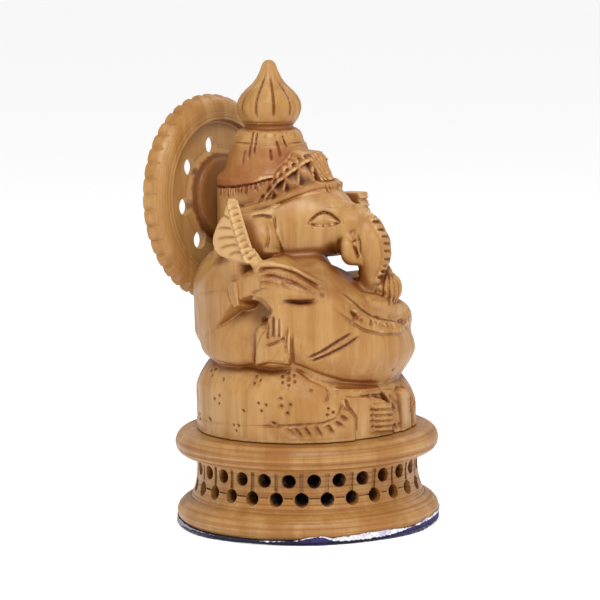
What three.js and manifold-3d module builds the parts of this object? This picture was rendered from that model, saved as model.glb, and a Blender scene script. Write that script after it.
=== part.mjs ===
// Carved wooden Ganesha on a pierced plinth, with a pierced halo behind the head.
// Millimetres, Z up. The figure faces -Y, its left hand is at +X and the underside is at Z = 0.
// A turn is an angle in degrees around the log, from the front towards the figure's right side.

import * as THREE from 'three';
import { mergeVertices } from 'three/addons/utils/BufferGeometryUtils.js';
import Module from 'manifold-3d';

const wasm = await Module();
wasm.setup();

// Driving dimensions
const totalHeight = 152.4;
const padThickness = 1.2;
const seatGap = 0.3;
const plinthTop = 31.6;
const plinthBottom = padThickness + seatGap;
const figureBottom = plinthTop + seatGap;
const logRadius = 36.5;

const pad = { radius: 43.2, sides: 32, tear: 0.4 };
const plinth = { rim: 43.8, torus: 4.4, torusHeight: 27.2, foot: 43.5, waist: 36.6, bore: 31, roof: 25.2 };
const piercing = { holes: 28, radius: 2.3, upperRow: 19.6, lowerRow: 13.6, phase: 2.6, sides: 6 };
const lap = { radius: 36.1, shoulder: 12, frontCut: 4.6 };
const waist = { side: 55.5, front: 48.5, depth: 4.8, rise: 11.5 };
const shoulders = {
  front: { start: 62.5, rise: 21.5 },
  side: { start: 78, rise: 13.5 },
  back: { start: 79, rise: 19.8 },
};
const hem = { halfWidth: 3.1, thickness: 1.5, strands: 7, strandTilt: 32 };
const foot = { toes: 5, toeBottom: 34.2, toePitch: 2.2 };
const hand = { turn: 66, height: 57.5, radius: 30.2, thickness: 6 };
const trunkCurl = { notches: 9, reach: 13.4, y: -22.4, z: 88.6 };
const crown = { y: 14.2, lean: 1.2, root: 82, band: 17.2, bandTop: 114.4, collar: 11.4 };
const onion = { neck: 7.9, bulb: 10.6, height: 136.5 };
const tiara = { edge: 58, steps: 8, plaqueTilt: 25 };
const halo = { y: 33.5, z: 106.3, lean: 2.5, radius: 34.5, recess: 25.4, hub: 13.6 };
const haloTeeth = { count: 40, depth: 1 };
const haloHole = { count: 8, radius: 3, circle: 17.5, firstAngle: -6.5, sides: 7 };
const haloDepth = { hub: -0.9, web: 2.3, webBack: 4.9, rim: 4.2, back: 6 };

const honeyWood = { color: 0xc9965f, roughness: 0.48, metalness: 0 };
const blueFelt = { color: 0x2b2a6b, roughness: 0.95, metalness: 0 };

// Small maths helpers
const radians = THREE.MathUtils.degToRad;
const lerp = THREE.MathUtils.lerp;
const smooth = (value, low, high) => THREE.MathUtils.smoothstep(value, low, high);
const clamp = (value) => THREE.MathUtils.clamp(value, 0, 1);
const range = (count) => Array.from({ length: count }, (_, i) => i);
const moved = (x, y, z) => new THREE.Matrix4().makeTranslation(x, y, z);
const rolled = (degrees) => new THREE.Matrix4().makeRotationZ(radians(degrees));
const tilted = (degrees) => new THREE.Matrix4().makeRotationX(radians(degrees));

// Solids and booleans. Shared vertices are welded, and faces that point inwards are turned round
function toSolid(geometry) {
  const bare = new THREE.BufferGeometry();
  bare.setAttribute('position', geometry.getAttribute('position').clone());
  if (geometry.index) bare.setIndex(geometry.index.clone());
  const welded = mergeVertices(bare, 1e-4);
  const positions = welded.getAttribute('position');
  const corners = welded.index.array;
  const point = (i) => new THREE.Vector3().fromBufferAttribute(positions, i);
  const kept = [];
  let volume = 0;
  for (let i = 0; i < corners.length; i += 3) {
    const [a, b, c] = corners.slice(i, i + 3);
    if (a === b || b === c || c === a) continue;
    kept.push(a, b, c);
    volume += point(a).dot(point(b).cross(point(c)));
  }
  if (volume < 0) kept.reverse();
  const vertProperties = Float32Array.from(positions.array);
  return new wasm.Manifold(new wasm.Mesh({ numProp: 3, vertProperties, triVerts: Uint32Array.from(kept) }));
}

const union = (solids) => solids.reduce((whole, solid) => whole.add(solid));
const without = (solid, cutters) => solid.subtract(union(cutters));

function toMesh(name, solid, look, tolerance = 0.02) {
  const { vertProperties, triVerts } = solid.simplify(tolerance).getMesh();
  const geometry = new THREE.BufferGeometry();
  geometry.setAttribute('position', new THREE.BufferAttribute(vertProperties, 3));
  geometry.setIndex(new THREE.BufferAttribute(triVerts, 1));
  geometry.computeVertexNormals();
  const mesh = new THREE.Mesh(geometry, new THREE.MeshStandardMaterial(look));
  mesh.name = name;
  return mesh;
}

// Basic forms
function turned(profile, sides) {
  const points = profile.map(([radius, height]) => new THREE.Vector2(radius, height));
  return toSolid(new THREE.LatheGeometry(points, sides).rotateX(Math.PI / 2));
}

function ball(centre, radii, yaw = 0) {
  const geometry = new THREE.SphereGeometry(1, 11, 7).rotateX(Math.PI / 2);
  return toSolid(geometry.scale(...radii).rotateZ(radians(yaw)).translate(...centre));
}

function box(centre, size, matrix) {
  return toSolid(new THREE.BoxGeometry(...size).translate(...centre).applyMatrix4(matrix));
}

// Rings of equal length, closed by a fan to the middle of the first and the last ring
function skin(rings) {
  const count = rings[0].length;
  const points = rings.flat();
  const middle = (ring) => ring.reduce((sum, p) => sum.add(p), new THREE.Vector3()).divideScalar(count);
  const start = points.push(middle(rings[0])) - 1;
  const end = points.push(middle(rings.at(-1))) - 1;
  const faces = [];
  const lastRow = (rings.length - 1) * count;
  for (let i = 0; i < count; i += 1) {
    const j = (i + 1) % count;
    for (let row = 0; row < lastRow; row += count) {
      faces.push(row + i, row + j, row + count + j, row + i, row + count + j, row + count + i);
    }
    faces.push(start, j, i, end, lastRow + i, lastRow + j);
  }
  return toSolid(new THREE.BufferGeometry().setFromPoints(points).setIndex(faces));
}

// A limb runs through stations with an elliptical section; `side` is the way its width points
function limb(stations, side = [0, 0, 1], sides = 8) {
  const spots = stations.map(({ at }) => new THREE.Vector3(...at));
  const widthWay = new THREE.Vector3(...side);
  const rings = stations.map(({ wide, deep = wide }, i) => {
    const next = spots[Math.min(i + 1, spots.length - 1)];
    const along = next.clone().sub(spots[Math.max(i - 1, 0)]).normalize();
    const across = widthWay.clone().addScaledVector(along, -along.dot(widthWay)).normalize();
    const other = new THREE.Vector3().crossVectors(along, across);
    return range(sides).map((k) => {
      const angle = (k / sides) * 2 * Math.PI;
      const point = spots[i].clone().addScaledVector(across, wide * Math.cos(angle));
      return point.addScaledVector(other, deep * Math.sin(angle));
    });
  });
  return skin(rings);
}

// Places a flat outline on the log: x runs to the viewer's right, y runs up and z points outwards
function onLog(turn, height, radius) {
  const t = radians(turn);
  const right = new THREE.Vector3(Math.cos(t), -Math.sin(t), 0);
  const out = new THREE.Vector3(-Math.sin(t), -Math.cos(t), 0);
  const matrix = new THREE.Matrix4().makeBasis(right, new THREE.Vector3(0, 0, 1), out);
  return matrix.setPosition(out.multiplyScalar(radius).setZ(height));
}

function slab(outline, thickness, matrix) {
  const shape = new THREE.Shape(outline.map(([x, y]) => new THREE.Vector2(x, y)));
  const geometry = new THREE.ExtrudeGeometry(shape, { depth: thickness, bevelEnabled: false });
  return toSolid(geometry.applyMatrix4(matrix));
}

// A point of the log's surface at a turn, a height and a distance from the axis
const logPoint = (turn, height, radius) => [
  -radius * Math.sin(radians(turn)), -radius * Math.cos(radians(turn)), height,
];

// The cut between the lap below and the trunk of the body above; it dips at the front
function waistHeight(turn) {
  return lerp(waist.front, waist.side, turn > 0 ? smooth(turn, 20, 60) : smooth(-turn, 36, 80));
}

// The shoulders are high at the back; the near arm keeps the log's full width, the far one lies lower
function shoulderLine(turn) {
  const sideness = smooth(turn, 36, 62);
  const backness = smooth(Math.abs(turn), turn > 0 ? 104 : 88, 128);
  const blend = (key) => {
    const forward = lerp(shoulders.front[key], shoulders.side[key], sideness);
    return lerp(forward, shoulders.back[key], backness);
  };
  return { start: blend('start'), rise: blend('rise') };
}

function bodyRadius(turn, height) {
  const cut = waistHeight(turn);
  if (height <= cut) {
    const fall = clamp((height - cut + lap.shoulder) / lap.shoulder) ** 1.5;
    const overFoot = smooth(turn, -30, -22) * (1 - smooth(turn, 21, 25));
    const footwell = lap.frontCut * overFoot * (1 - smooth(height, 43, 46.5));
    return lap.radius - footwell - (lap.radius - logRadius + waist.depth) * fall;
  }
  const swell = Math.sin((Math.PI / 2) * clamp((height - cut) / waist.rise));
  const { start, rise } = shoulderLine(turn);
  const dome = Math.sqrt(1 - clamp((height - start) / rise) ** 2);
  const besideHand = smooth(turn, 36, 50) * (1 - smooth(turn, 66, 72));
  const hollow = 3 * besideHand * smooth(height, cut, cut + 6) * (1 - smooth(height, 74, 78));
  return (logRadius - waist.depth * (1 - swell) - hollow) * dome;
}

function bodySolid() {
  const columns = 34;
  const lapRows = [0, 0.4, 0.62, 0.78, 0.9, 1];
  const chestRows = [0.06, 0.13, 0.22, 0.4, 0.56, 0.7, 0.81, 0.9, 0.965];
  const ring = (heightAt) => range(columns).map((i) => {
    const turn = (i / columns) * 360 - 180;
    const height = heightAt(turn);
    return new THREE.Vector3(...logPoint(turn, height, bodyRadius(turn, height)));
  });
  const top = (turn) => shoulderLine(turn).start + shoulderLine(turn).rise;
  return skin([
    ...lapRows.map((share) => ring((turn) => lerp(figureBottom, waistHeight(turn), share))),
    ...chestRows.map((share) => ring((turn) => lerp(waistHeight(turn), top(turn), share))),
  ]);
}

// Hem of the cloth: a flat band that climbs over the foot, cut into a twisted rope on the right side
function hemSolid(sign) {
  const path = [[100, 33.6], [80, 33.8], [62, 34.4], [48, 34.8], [37, 36], [29, 39], [25.5, 42.5]];
  const band = limb(path.map(([turn, height]) => ({
    at: logPoint(sign * turn, height, lap.radius - hem.thickness), wide: hem.halfWidth, deep: hem.thickness,
  })), [0, 0, 1], 6);
  if (sign < 0) return band;
  const cuts = range(hem.strands).map((i) => {
    const height = i < 3 ? 39.4 - i * 1.8 : 35.2;
    const place = onLog(28 + i * 4.6, height, lap.radius - 0.9).multiply(rolled(hem.strandTilt));
    return box([0, 0, 0.8], [0.9, 7, 1.8], place);
  });
  return without(band, cuts);
}

// Foot resting on its edge, with the toes stacked one above the other
function footSolid() {
  const toes = range(foot.toes).map((i) => {
    const height = foot.toeBottom + i * foot.toePitch;
    return limb([
      { at: logPoint(11.5, height + i * 0.1, 33.2), wide: 1.15, deep: 2.6 },
      { at: logPoint(5, height, 33.6), wide: 1.15, deep: 2.4 },
      { at: logPoint(0.8, height - i * 0.1, 33.2), wide: 0.8, deep: 1.4 },
    ], [0, 0, 1], 6);
  });
  const sole = [[-3.6, 0], [4, 0], [4, 12], [1.5, 13], [-3.6, 12.2]];
  return union([slab(sole, 6, onLog(15, figureBottom, 29.6)), ...toes]);
}

// Loose end of the cloth that falls between the foot and the left knee
function clothEnd() {
  const fold = [[-2.6, 0], [2.4, 0], [2.8, 11.2], [0.6, 12.4], [-3.2, 13]];
  const side = [[-3, 0], [3, 0], [2.6, 10.4], [-2.6, 11.6]];
  return slab(fold, 5, onLog(-7, figureBottom, 29.6)).add(slab(side, 6, onLog(-18, figureBottom, 29.8)));
}

// Hollow left under the raised near forearm; its upper edge is the forearm's lower line
function underArmHollow() {
  const arch = [[-17, 62], [-8.6, 67.4], [-3, 71], [0.6, 74.4], [5.6, 76.9], [9, 76.8], [12.4, 74.4],
    [14.5, 57], [-9, 56]];
  return slab(arch, 12, onLog(92, 0, 29));
}

// Near rear hand: a fist whose four fingers wrap round the leaf's stem, with a bracelet behind it
function leafHand() {
  const fist = ball([-28.4, -11.5, 83.6], [6.4, 7.2, 5]);
  const fingers = range(4).map((i) => limb([
    { at: [-32.6, -5.6, 88.6 - i * 2.3], wide: 1.4 },
    { at: [-33, -11, 88 - i * 2.4], wide: 1.5 },
    { at: [-30, -16.4, 85.6 - i * 2], wide: 1.3 },
  ], [0, 0, 1], 5));
  const band = [[-1.6, -6.4], [1.6, -6.4], [1.6, 6.4], [-1.6, 6.4]];
  return union([fist, slab(band, 4, onLog(94, 79, 31.9).multiply(rolled(28))), ...fingers]);
}

// Far rear arm, lower and plainer, rising to the hand that holds the emblem
function emblemArm() {
  return limb([
    { at: [20, 20, 76], wide: 7, deep: 6.4 },
    { at: [27, 14.5, 69], wide: 6, deep: 5 },
    { at: [29.5, 5, 71.5], wide: 5.4, deep: 4.6 },
    { at: [28.5, -4, 76.5], wide: 4.6, deep: 4.4 },
    { at: [26, -10, 80], wide: 4.4, deep: 4.4 },
  ], [0, -0.5, 1], 9);
}

// Right front hand, palm outwards, in front of the bulge of its elbow
function blessingHand() {
  const palm = [[-3.4, 0], [3.2, 0], [3.2, 15.4], [2.4, 16.2], [0.4, 16.2], [-1.4, 14.6], [-3.4, 11]];
  const place = onLog(hand.turn, hand.height, hand.radius);
  const cuts = [[-1.5, 8, 15], [0.4, 9, 17], [1.9, 8.6, 16]].map(([x, low, high]) => (
    box([x, (low + high) / 2, hand.thickness], [0.6, high - low, 1.6], place)));
  const cuff = [[-3, 0], [3, 0], [3, 8.5], [-0.6, 10.5], [-3, 7]];
  const wrist = slab(cuff, 6, onLog(77, 56.5, 29));
  const elbow = ball([-25.5, 9.5, 60.5], [8.2, 10, 6.2]);
  const forearm = limb([
    { at: [-27, 7, 60.5], wide: 6, deep: 5.6 },
    { at: [-30, -4, 60.5], wide: 5.4, deep: 4.4 },
    { at: [-30, -11, 61], wide: 4.6, deep: 4 },
  ]);
  return union([without(slab(palm, hand.thickness, place), cuts), wrist, elbow, forearm]);
}

// Left front arm, laid along the belly, with a pleated sweet in the hand
function offeringHand() {
  const arm = limb([
    { at: [26, 10, 60], wide: 7.2, deep: 6 },
    { at: [28.5, -6, 63], wide: 6.2, deep: 5.4 },
    { at: [21, -18, 69], wide: 5.2, deep: 4.6 },
    { at: [10.5, -25.5, 73.5], wide: 4.8, deep: 4.4 },
    { at: [2, -26.5, 76], wide: 4, deep: 3.8 },
  ], [0, 0, 1], 9);
  const sweet = ball([5.4, -30.4, 80.6], [5.2, 4.9, 5], -20);
  const pleats = [-75, -45, -15, 15].map((angle) => (
    box([0, 3.4, 4.4], [0.6, 5, 1.6], onLog(-10, 79.4, 30.4).multiply(rolled(angle)))));
  return arm.add(without(sweet, pleats));
}

// Sash laid slantwise over the chest and the belly, standing a little proud of it
function sashSolid() {
  const path = [[58, 82, 29.4], [44, 78.5, 31], [34, 74.5, 32.4], [22, 70.6, 33.6], [8, 68, 34.3],
    [-8, 66.6, 34.4], [-24, 67, 33.6]];
  return limb(path.map(([turn, height, radius]) => ({
    at: logPoint(turn, height, radius), wide: 2.2, deep: 1.4,
  })), [0, 0, 1], 8);
}

// Elephant head: skull and trunk in one sweep, ears, tusks, mouth and neck
const trunkPath = [
  { at: [0, 22, 101], wide: 8, deep: 7 },
  { at: [0, 13, 101], wide: 16, deep: 12 },
  { at: [0, 2, 100.6], wide: 18.6, deep: 13 },
  { at: [0, -8, 99.8], wide: 16.6, deep: 12.4 },
  { at: [0, -16, 98.8], wide: 12, deep: 10.8 },
  { at: [0, -23.6, 96.6], wide: 8, deep: 8.6 },
  { at: [0, -28.6, 92.2], wide: 6.6, deep: 7 },
  { at: [0, -29.6, 86.6], wide: 5.7, deep: 5.6 },
  { at: [0, -29.2, 81.4], wide: 5, deep: 5 },
  { at: [0, -27, 76.6], wide: 4.2, deep: 4.4 },
];

function trunkNotches() {
  return range(trunkCurl.notches).map((i) => {
    const degrees = lerp(38, -34, i / (trunkCurl.notches - 1));
    const y = trunkCurl.y - trunkCurl.reach * Math.cos(radians(degrees));
    const z = trunkCurl.z + trunkCurl.reach * Math.sin(radians(degrees));
    return box([0, 0, 0], [4, 1.7, 0.8], moved(0, y, z).multiply(tilted(-degrees)));
  });
}

function headSolid() {
  const sides = [1, -1].flatMap((sign) => [
    ball([-23 * sign, 5.2, 97.6], [7.4, 11.6, 11.2], 12 * sign),
    limb([
      { at: [-8.2 * sign, -22, 97], wide: 3.4 },
      { at: [-7.8 * sign, -22.8, 92], wide: 3.2 },
      { at: [-6.4 * sign, -23, 86.6], wide: 2.4 },
    ], [1, 0, 0], 8),
  ]);
  const mouth = ball([0, -19, 90.2], [6.4, 5.4, 4]);
  const neck = ball([0, -2.8, 84], [13, 10.6, 5.2]);
  return union([...sides, mouth, neck, without(limb(trunkPath, [1, 0, 0], 12), trunkNotches())]);
}

// Leaf fan held up in the right rear hand; its middle rib stands proud and the near edge is notched
function leafSolid() {
  const place = onLog(92, 0, 31);
  const outline = [[-3, 110], [-4.4, 107], [-7.6, 101.5], [-9.8, 97], [-9.4, 93.6], [-6.4, 91.6], [-2, 90.2],
    [4, 89.8], [7.4, 94], [7.2, 97.4], [5.6, 101], [3.2, 105], [0.4, 108.4]];
  const rib = [[-2.4, 109.4], [-0.6, 103], [1.4, 97.4], [4.4, 91]];
  const ribOutline = [...rib, ...rib.map(([x, y]) => [x + 2.6, y + 0.8]).reverse()];
  const count = 5;
  const notches = range(count).map((i) => {
    const share = (i + 0.5) / count;
    const spot = moved(lerp(0.6, 6.4, share), lerp(108.4, 95, share), 4.3).multiply(rolled(-34));
    return box([0, 0, 0], [3, 0.7, 1.6], place.clone().multiply(spot));
  });
  const stem = limb([
    { at: [-33.2, -4.4, 93], wide: 2 },
    { at: [-31.6, -8.6, 86], wide: 1.8 },
  ], [0, 1, 0], 6);
  return without(slab(outline, 3.6, place).add(slab(ribOutline, 4.8, place)), notches).add(stem);
}

// Emblem in the left rear hand: an upright blade with a stepped front edge
function emblemSolid() {
  const steps = range(4).flatMap((i) => [
    [-3.2 - i * 0.6, 107 - i * 2.4],
    [-2.4 - i * 0.6, 105.4 - i * 2.4],
  ]);
  const outline = [[3, 107], ...steps, [-6.4, 95.6], [-6, 86], [3, 82], [8, 94], [7, 101]];
  return slab(outline.reverse(), 4.6, onLog(-88, 0, 24.5));
}

// Turban-like crown with its onion finial
function crownSolid() {
  const bulb = [
    [0.86, 132.2], [1.01, 135], [1.01, 138], [0.88, 140.6], [0.6, 143.4], [0.4, 146], [0.26, 149],
    [0.17, 151.6],
  ].map(([share, height]) => [onion.bulb * share, height]);
  const profile = [
    [0, crown.root], [crown.band, crown.root], [crown.band, 110], [crown.band - 0.5, 110.5],
    [crown.band, 111], [crown.band, crown.bandTop - 0.4], [crown.band - 2.4, 116.2], [14, 118.4],
    [crown.collar + 0.7, 125], [crown.collar, 125.6], [crown.collar - 0.8, 128],
    [onion.neck + 0.9, 129.6], [onion.neck, 130.2], ...bulb, [0, totalHeight],
  ];
  const upright = turned(profile, 18).translate([0, 0, -onion.height]);
  return upright.rotate([crown.lean, 0, 0]).translate([0, crown.y - 1, onion.height]);
}

// Tiara: a wedge round the front of the crown with a plaque in the middle
function tiaraSolid() {
  const rings = range(tiara.steps + 1).map((i) => {
    const turn = lerp(-tiara.edge, tiara.edge, i / tiara.steps);
    const angle = radians(turn);
    const share = clamp((Math.abs(turn) - 10) / (tiara.edge - 10));
    const point = (radius, height) => new THREE.Vector3(
      -radius * Math.sin(angle), crown.y - radius * Math.cos(angle), height,
    );
    const top = lerp(120.5, 110.5, share);
    const bottom = lerp(109.6, 103, share);
    return [point(13, bottom), point(lerp(25.2, 20.6, share), bottom), point(lerp(20.4, 19.2, share), top),
      point(15.4, top)];
  });
  const outline = [[-3.6, 0], [3.6, 0], [4.2, 8], [4.8, 13], [0, 15], [-4.8, 13], [-4.2, 8]];
  return skin(rings).add(slab(outline, 3.4, moved(0, -10.2, 109.4).multiply(tilted(90 - tiara.plaqueTilt))));
}

// Rolled band of the head-dress, lowest above the ears and pushed forward over the brow
function headband() {
  const last = 8;
  const stations = range(last + 1).map((i) => {
    const angle = radians(lerp(-96, 96, i / last));
    const front = Math.max(0, Math.cos(angle));
    const radius = lerp(20, 26.6, front ** 4);
    const at = [radius * Math.sin(angle), crown.y - 1 - radius * Math.cos(angle), lerp(103, 108.4, front)];
    return { at, wide: 2.3, deep: 2 };
  });
  return limb(stations, [0, 0, 1], 6);
}

const inHaloPlace = (solid) => solid.rotate([90 - halo.lean, 0, 0]).translate([0, halo.y, halo.z]);

// Halo: a turned disc with a recessed web, a raised hub, drilled holes and a notched rim
function haloSolid() {
  const sides = 32;
  const profile = [
    [0, haloDepth.hub], [halo.hub - 1.6, haloDepth.hub], [halo.hub, haloDepth.hub + 1],
    [halo.hub + 0.5, haloDepth.web], [halo.recess - 0.3, haloDepth.web], [halo.recess + 0.3, 0],
    [halo.radius - 4, 0.1], [halo.radius - 2, 1.2], [halo.radius - 1.2, haloDepth.rim + 0.4],
    [0, haloDepth.rim + 0.4],
  ];
  const disc = turned(profile.map(([radius, depth]) => [radius, -depth]), sides);
  const star = range(haloTeeth.count * 2).map((i) => {
    const angle = (i / (haloTeeth.count * 2)) * 2 * Math.PI;
    const radius = halo.radius - (i % 2) * haloTeeth.depth;
    return [radius * Math.cos(angle), radius * Math.sin(angle)];
  });
  const rim = slab(star, haloDepth.back - haloDepth.rim, moved(0, 0, -haloDepth.back));
  const drills = range(haloHole.count).map((i) => {
    const angle = radians(haloHole.firstAngle) + (i / haloHole.count) * 2 * Math.PI;
    const geometry = new THREE.CylinderGeometry(haloHole.radius, haloHole.radius, 20, haloHole.sides);
    geometry.rotateX(Math.PI / 2);
    const [x, y] = [haloHole.circle * Math.sin(angle), haloHole.circle * Math.cos(angle)];
    return toSolid(geometry.translate(x, y, 0));
  });
  const dishFloor = -haloDepth.webBack;
  const dish = turned([[0, -20], [halo.recess, -20], [halo.recess, dishFloor], [0, dishFloor]], sides);
  return inHaloPlace(without(union([disc, rim]), [dish, ...drills]));
}

// Flat seat cut into the back of the log, where the halo is glued on
function haloSeat() {
  const behind = -30;
  const reach = halo.radius + seatGap;
  const hubReach = halo.hub + seatGap;
  const hubFront = seatGap - haloDepth.hub;
  return inHaloPlace(turned([
    [0, behind], [reach, behind], [reach, seatGap], [hubReach, seatGap], [hubReach, hubFront], [0, hubFront],
  ], 40));
}

function figureSolid() {
  const body = bodySolid().subtract(underArmHollow());
  const clothing = [hemSolid(1), hemSolid(-1), clothEnd(), sashSolid()];
  const limbs = [footSolid(), leafHand(), emblemArm(), blessingHand(), offeringHand()];
  const attributes = [leafSolid(), emblemSolid()];
  const head = [headSolid(), crownSolid(), tiaraSolid(), headband()];
  const whole = union([body, ...clothing, ...limbs, ...head, ...attributes]);
  return whole.subtract(haloSeat()).trimByPlane([0, 0, 1], figureBottom);
}

// Plinth: turned ring with two staggered rows of drilled holes, hollow below
function plinthSolid() {
  const torus = range(4).map((i) => {
    const angle = radians(lerp(-50, 80, i / 3));
    return [plinth.rim - plinth.torus * (1 - Math.cos(angle)), plinth.torusHeight + 4.1 * Math.sin(angle)];
  });
  const profile = [
    [0, plinth.roof], [plinth.bore, plinth.roof], [plinth.bore, plinthBottom],
    [plinth.foot - 0.8, plinthBottom], [plinth.foot, 4.2], [41.9, 6.8], [38.4, 9.6],
    [plinth.waist + 1, 11], [plinth.waist, 16.6],
    [plinth.waist + 0.4, 22.2], [39.6, 23.6], ...torus, [0, plinthTop],
  ];
  const pitch = 360 / piercing.holes;
  const rows = [[piercing.upperRow, piercing.phase], [piercing.lowerRow, piercing.phase + pitch / 2]];
  const drills = rows.flatMap(([height, phase]) => range(piercing.holes).map((i) => {
    const geometry = new THREE.CylinderGeometry(piercing.radius, piercing.radius, 14, piercing.sides);
    geometry.rotateZ(Math.PI / 2).translate(34, 0, height);
    return toSolid(geometry.rotateZ(radians(phase + i * pitch)));
  }));
  const facetTurn = piercing.phase - pitch / 2;
  return without(turned(profile, piercing.holes).rotate([0, 0, facetTurn]), drills);
}

// Pad: felt-covered card, slightly out of round where the paper edge is torn
function padSolid() {
  const outline = range(pad.sides).map((i) => {
    const angle = (i / pad.sides) * 2 * Math.PI;
    const radius = pad.radius + pad.tear * (Math.sin(3 * angle + 0.6) + Math.sin(7 * angle));
    return [radius * Math.cos(angle), radius * Math.sin(angle)];
  });
  return slab(outline, padThickness, new THREE.Matrix4());
}

const ganesha = new THREE.Group();
ganesha.name = 'ganesha_figure';
ganesha.add(
  toMesh('figure', figureSolid(), honeyWood, 0.2),
  toMesh('halo', haloSolid(), honeyWood),
  toMesh('plinth', plinthSolid(), honeyWood),
  toMesh('base_pad', padSolid(), blueFelt),
);

export default ganesha;
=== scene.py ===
import math
import bmesh
import bpy
import numpy as np
from mathutils import Matrix, Vector


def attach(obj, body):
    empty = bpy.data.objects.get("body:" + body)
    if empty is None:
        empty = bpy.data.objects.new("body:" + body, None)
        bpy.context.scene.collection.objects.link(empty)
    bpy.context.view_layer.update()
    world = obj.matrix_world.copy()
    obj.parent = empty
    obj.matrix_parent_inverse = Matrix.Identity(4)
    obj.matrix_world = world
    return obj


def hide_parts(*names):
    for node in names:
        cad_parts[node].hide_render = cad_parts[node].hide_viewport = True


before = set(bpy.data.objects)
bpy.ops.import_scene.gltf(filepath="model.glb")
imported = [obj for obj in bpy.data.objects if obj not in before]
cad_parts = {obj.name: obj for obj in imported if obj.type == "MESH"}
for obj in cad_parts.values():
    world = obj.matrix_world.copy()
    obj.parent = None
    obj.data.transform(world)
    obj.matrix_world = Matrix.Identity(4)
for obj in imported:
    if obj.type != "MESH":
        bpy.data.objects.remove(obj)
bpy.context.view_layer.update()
print("frame loaded:", list(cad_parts))

mm = 0.001


# Small maths for the carving, all in millimetres
def smoothStep(value, low, high):
    share = np.clip((value - low) / (high - low), 0, 1)
    return share * share * (3 - 2 * share)


def mix(a, b, share):
    return a + (b - a) * share


def smoothMin(a, b, blend):
    if blend <= 0:
        return np.minimum(a, b)
    near = np.maximum(blend - np.abs(a - b), 0) / blend
    return np.minimum(a, b) - near * near * blend * 0.25


def smoothMax(a, b, blend):
    return -smoothMin(-a, -b, blend)


def wedge(gap, width):
    # 1 on a line, 0 from a width away
    return np.clip(1 - gap / width, 0, 1)


def fromMark(value):
    # distance to the nearest whole number
    return np.abs(value - np.round(value))


def lineDistance(a, b, path):
    # distance to a bent line, and how far along it the nearest point lies, from 0 to 1
    points = np.array(path, float)
    steps = np.hypot(*(points[1:] - points[:-1]).T)
    total = steps.sum()
    best = np.full(np.broadcast(a, b).shape, 1e9, np.float32)
    along = np.zeros_like(best)
    run = 0.0
    for start, end, step in zip(points[:-1], points[1:], steps):
        da, db = end - start
        share = np.clip(((a - start[0]) * da + (b - start[1]) * db) / (step * step + 1e-9), 0, 1)
        gap = np.hypot(a - start[0] - share * da, b - start[1] - share * db)
        closer = gap < best
        best = np.where(closer, gap, best)
        along = np.where(closer, (run + share * step) / total, along)
        run += step
    return best, along


def areaDistance(a, b, outline):
    # signed distance to a closed outline, negative inside
    gap, _ = lineDistance(a, b, list(outline) + [outline[0]])
    inside = np.zeros(gap.shape, bool)
    for (a0, b0), (a1, b1) in zip(outline, list(outline[1:]) + [outline[0]]):
        if b0 == b1:
            continue
        crosses = (b0 > b) != (b1 > b)
        inside ^= crosses & (a < (a1 - a0) * (b - b0) / (b1 - b0) + a0)
    return np.where(inside, -gap, gap)


def taper(along, start=0.15, end=0.15):
    return smoothStep(along, -0.02, start) * smoothStep(1 - along, -0.02, end)


# The log: its radius over turn and height, painted as a relief. A turn is an angle in degrees from the
# front towards the figure's right side
log = dict(
    radius=36.3, low=31.9, high=100.5, turnStep=0.5, heightStep=0.25, perDegree=0.62,
    waistDepth=4.9, waistSpread=9.5, shoulderFront=(59.8, 27.6), shoulderSide=(75, 17), shoulderBack=(79, 19.8),
    shoulderLeft=(56.5, 24.2), uneven=0.035,
)
turns = np.arange(-180, 180, log["turnStep"])
heights = np.arange(log["low"] - 1, log["high"], log["heightStep"])
turn, height = np.meshgrid(turns, heights, indexing="ij")


def around(centre=0.0):
    # arc length over the log from a turn, in millimetres
    return ((turn - centre + 180) % 360 - 180) * log["perDegree"]


def unrolled(path, centre):
    return [((t - centre) * log["perDegree"], z) for t, z in path]


def middle(path):
    return sum(point[0] for point in path) / len(path)


def lineGap(path):
    # distance over the log to a line of turns and heights, and the way along it
    centre = middle(path)
    return lineDistance(around(centre), height, unrolled([point[:2] for point in path], centre))


def areaGap(outline):
    centre = middle(outline)
    return areaDistance(around(centre), height, unrolled(outline, centre))


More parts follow.
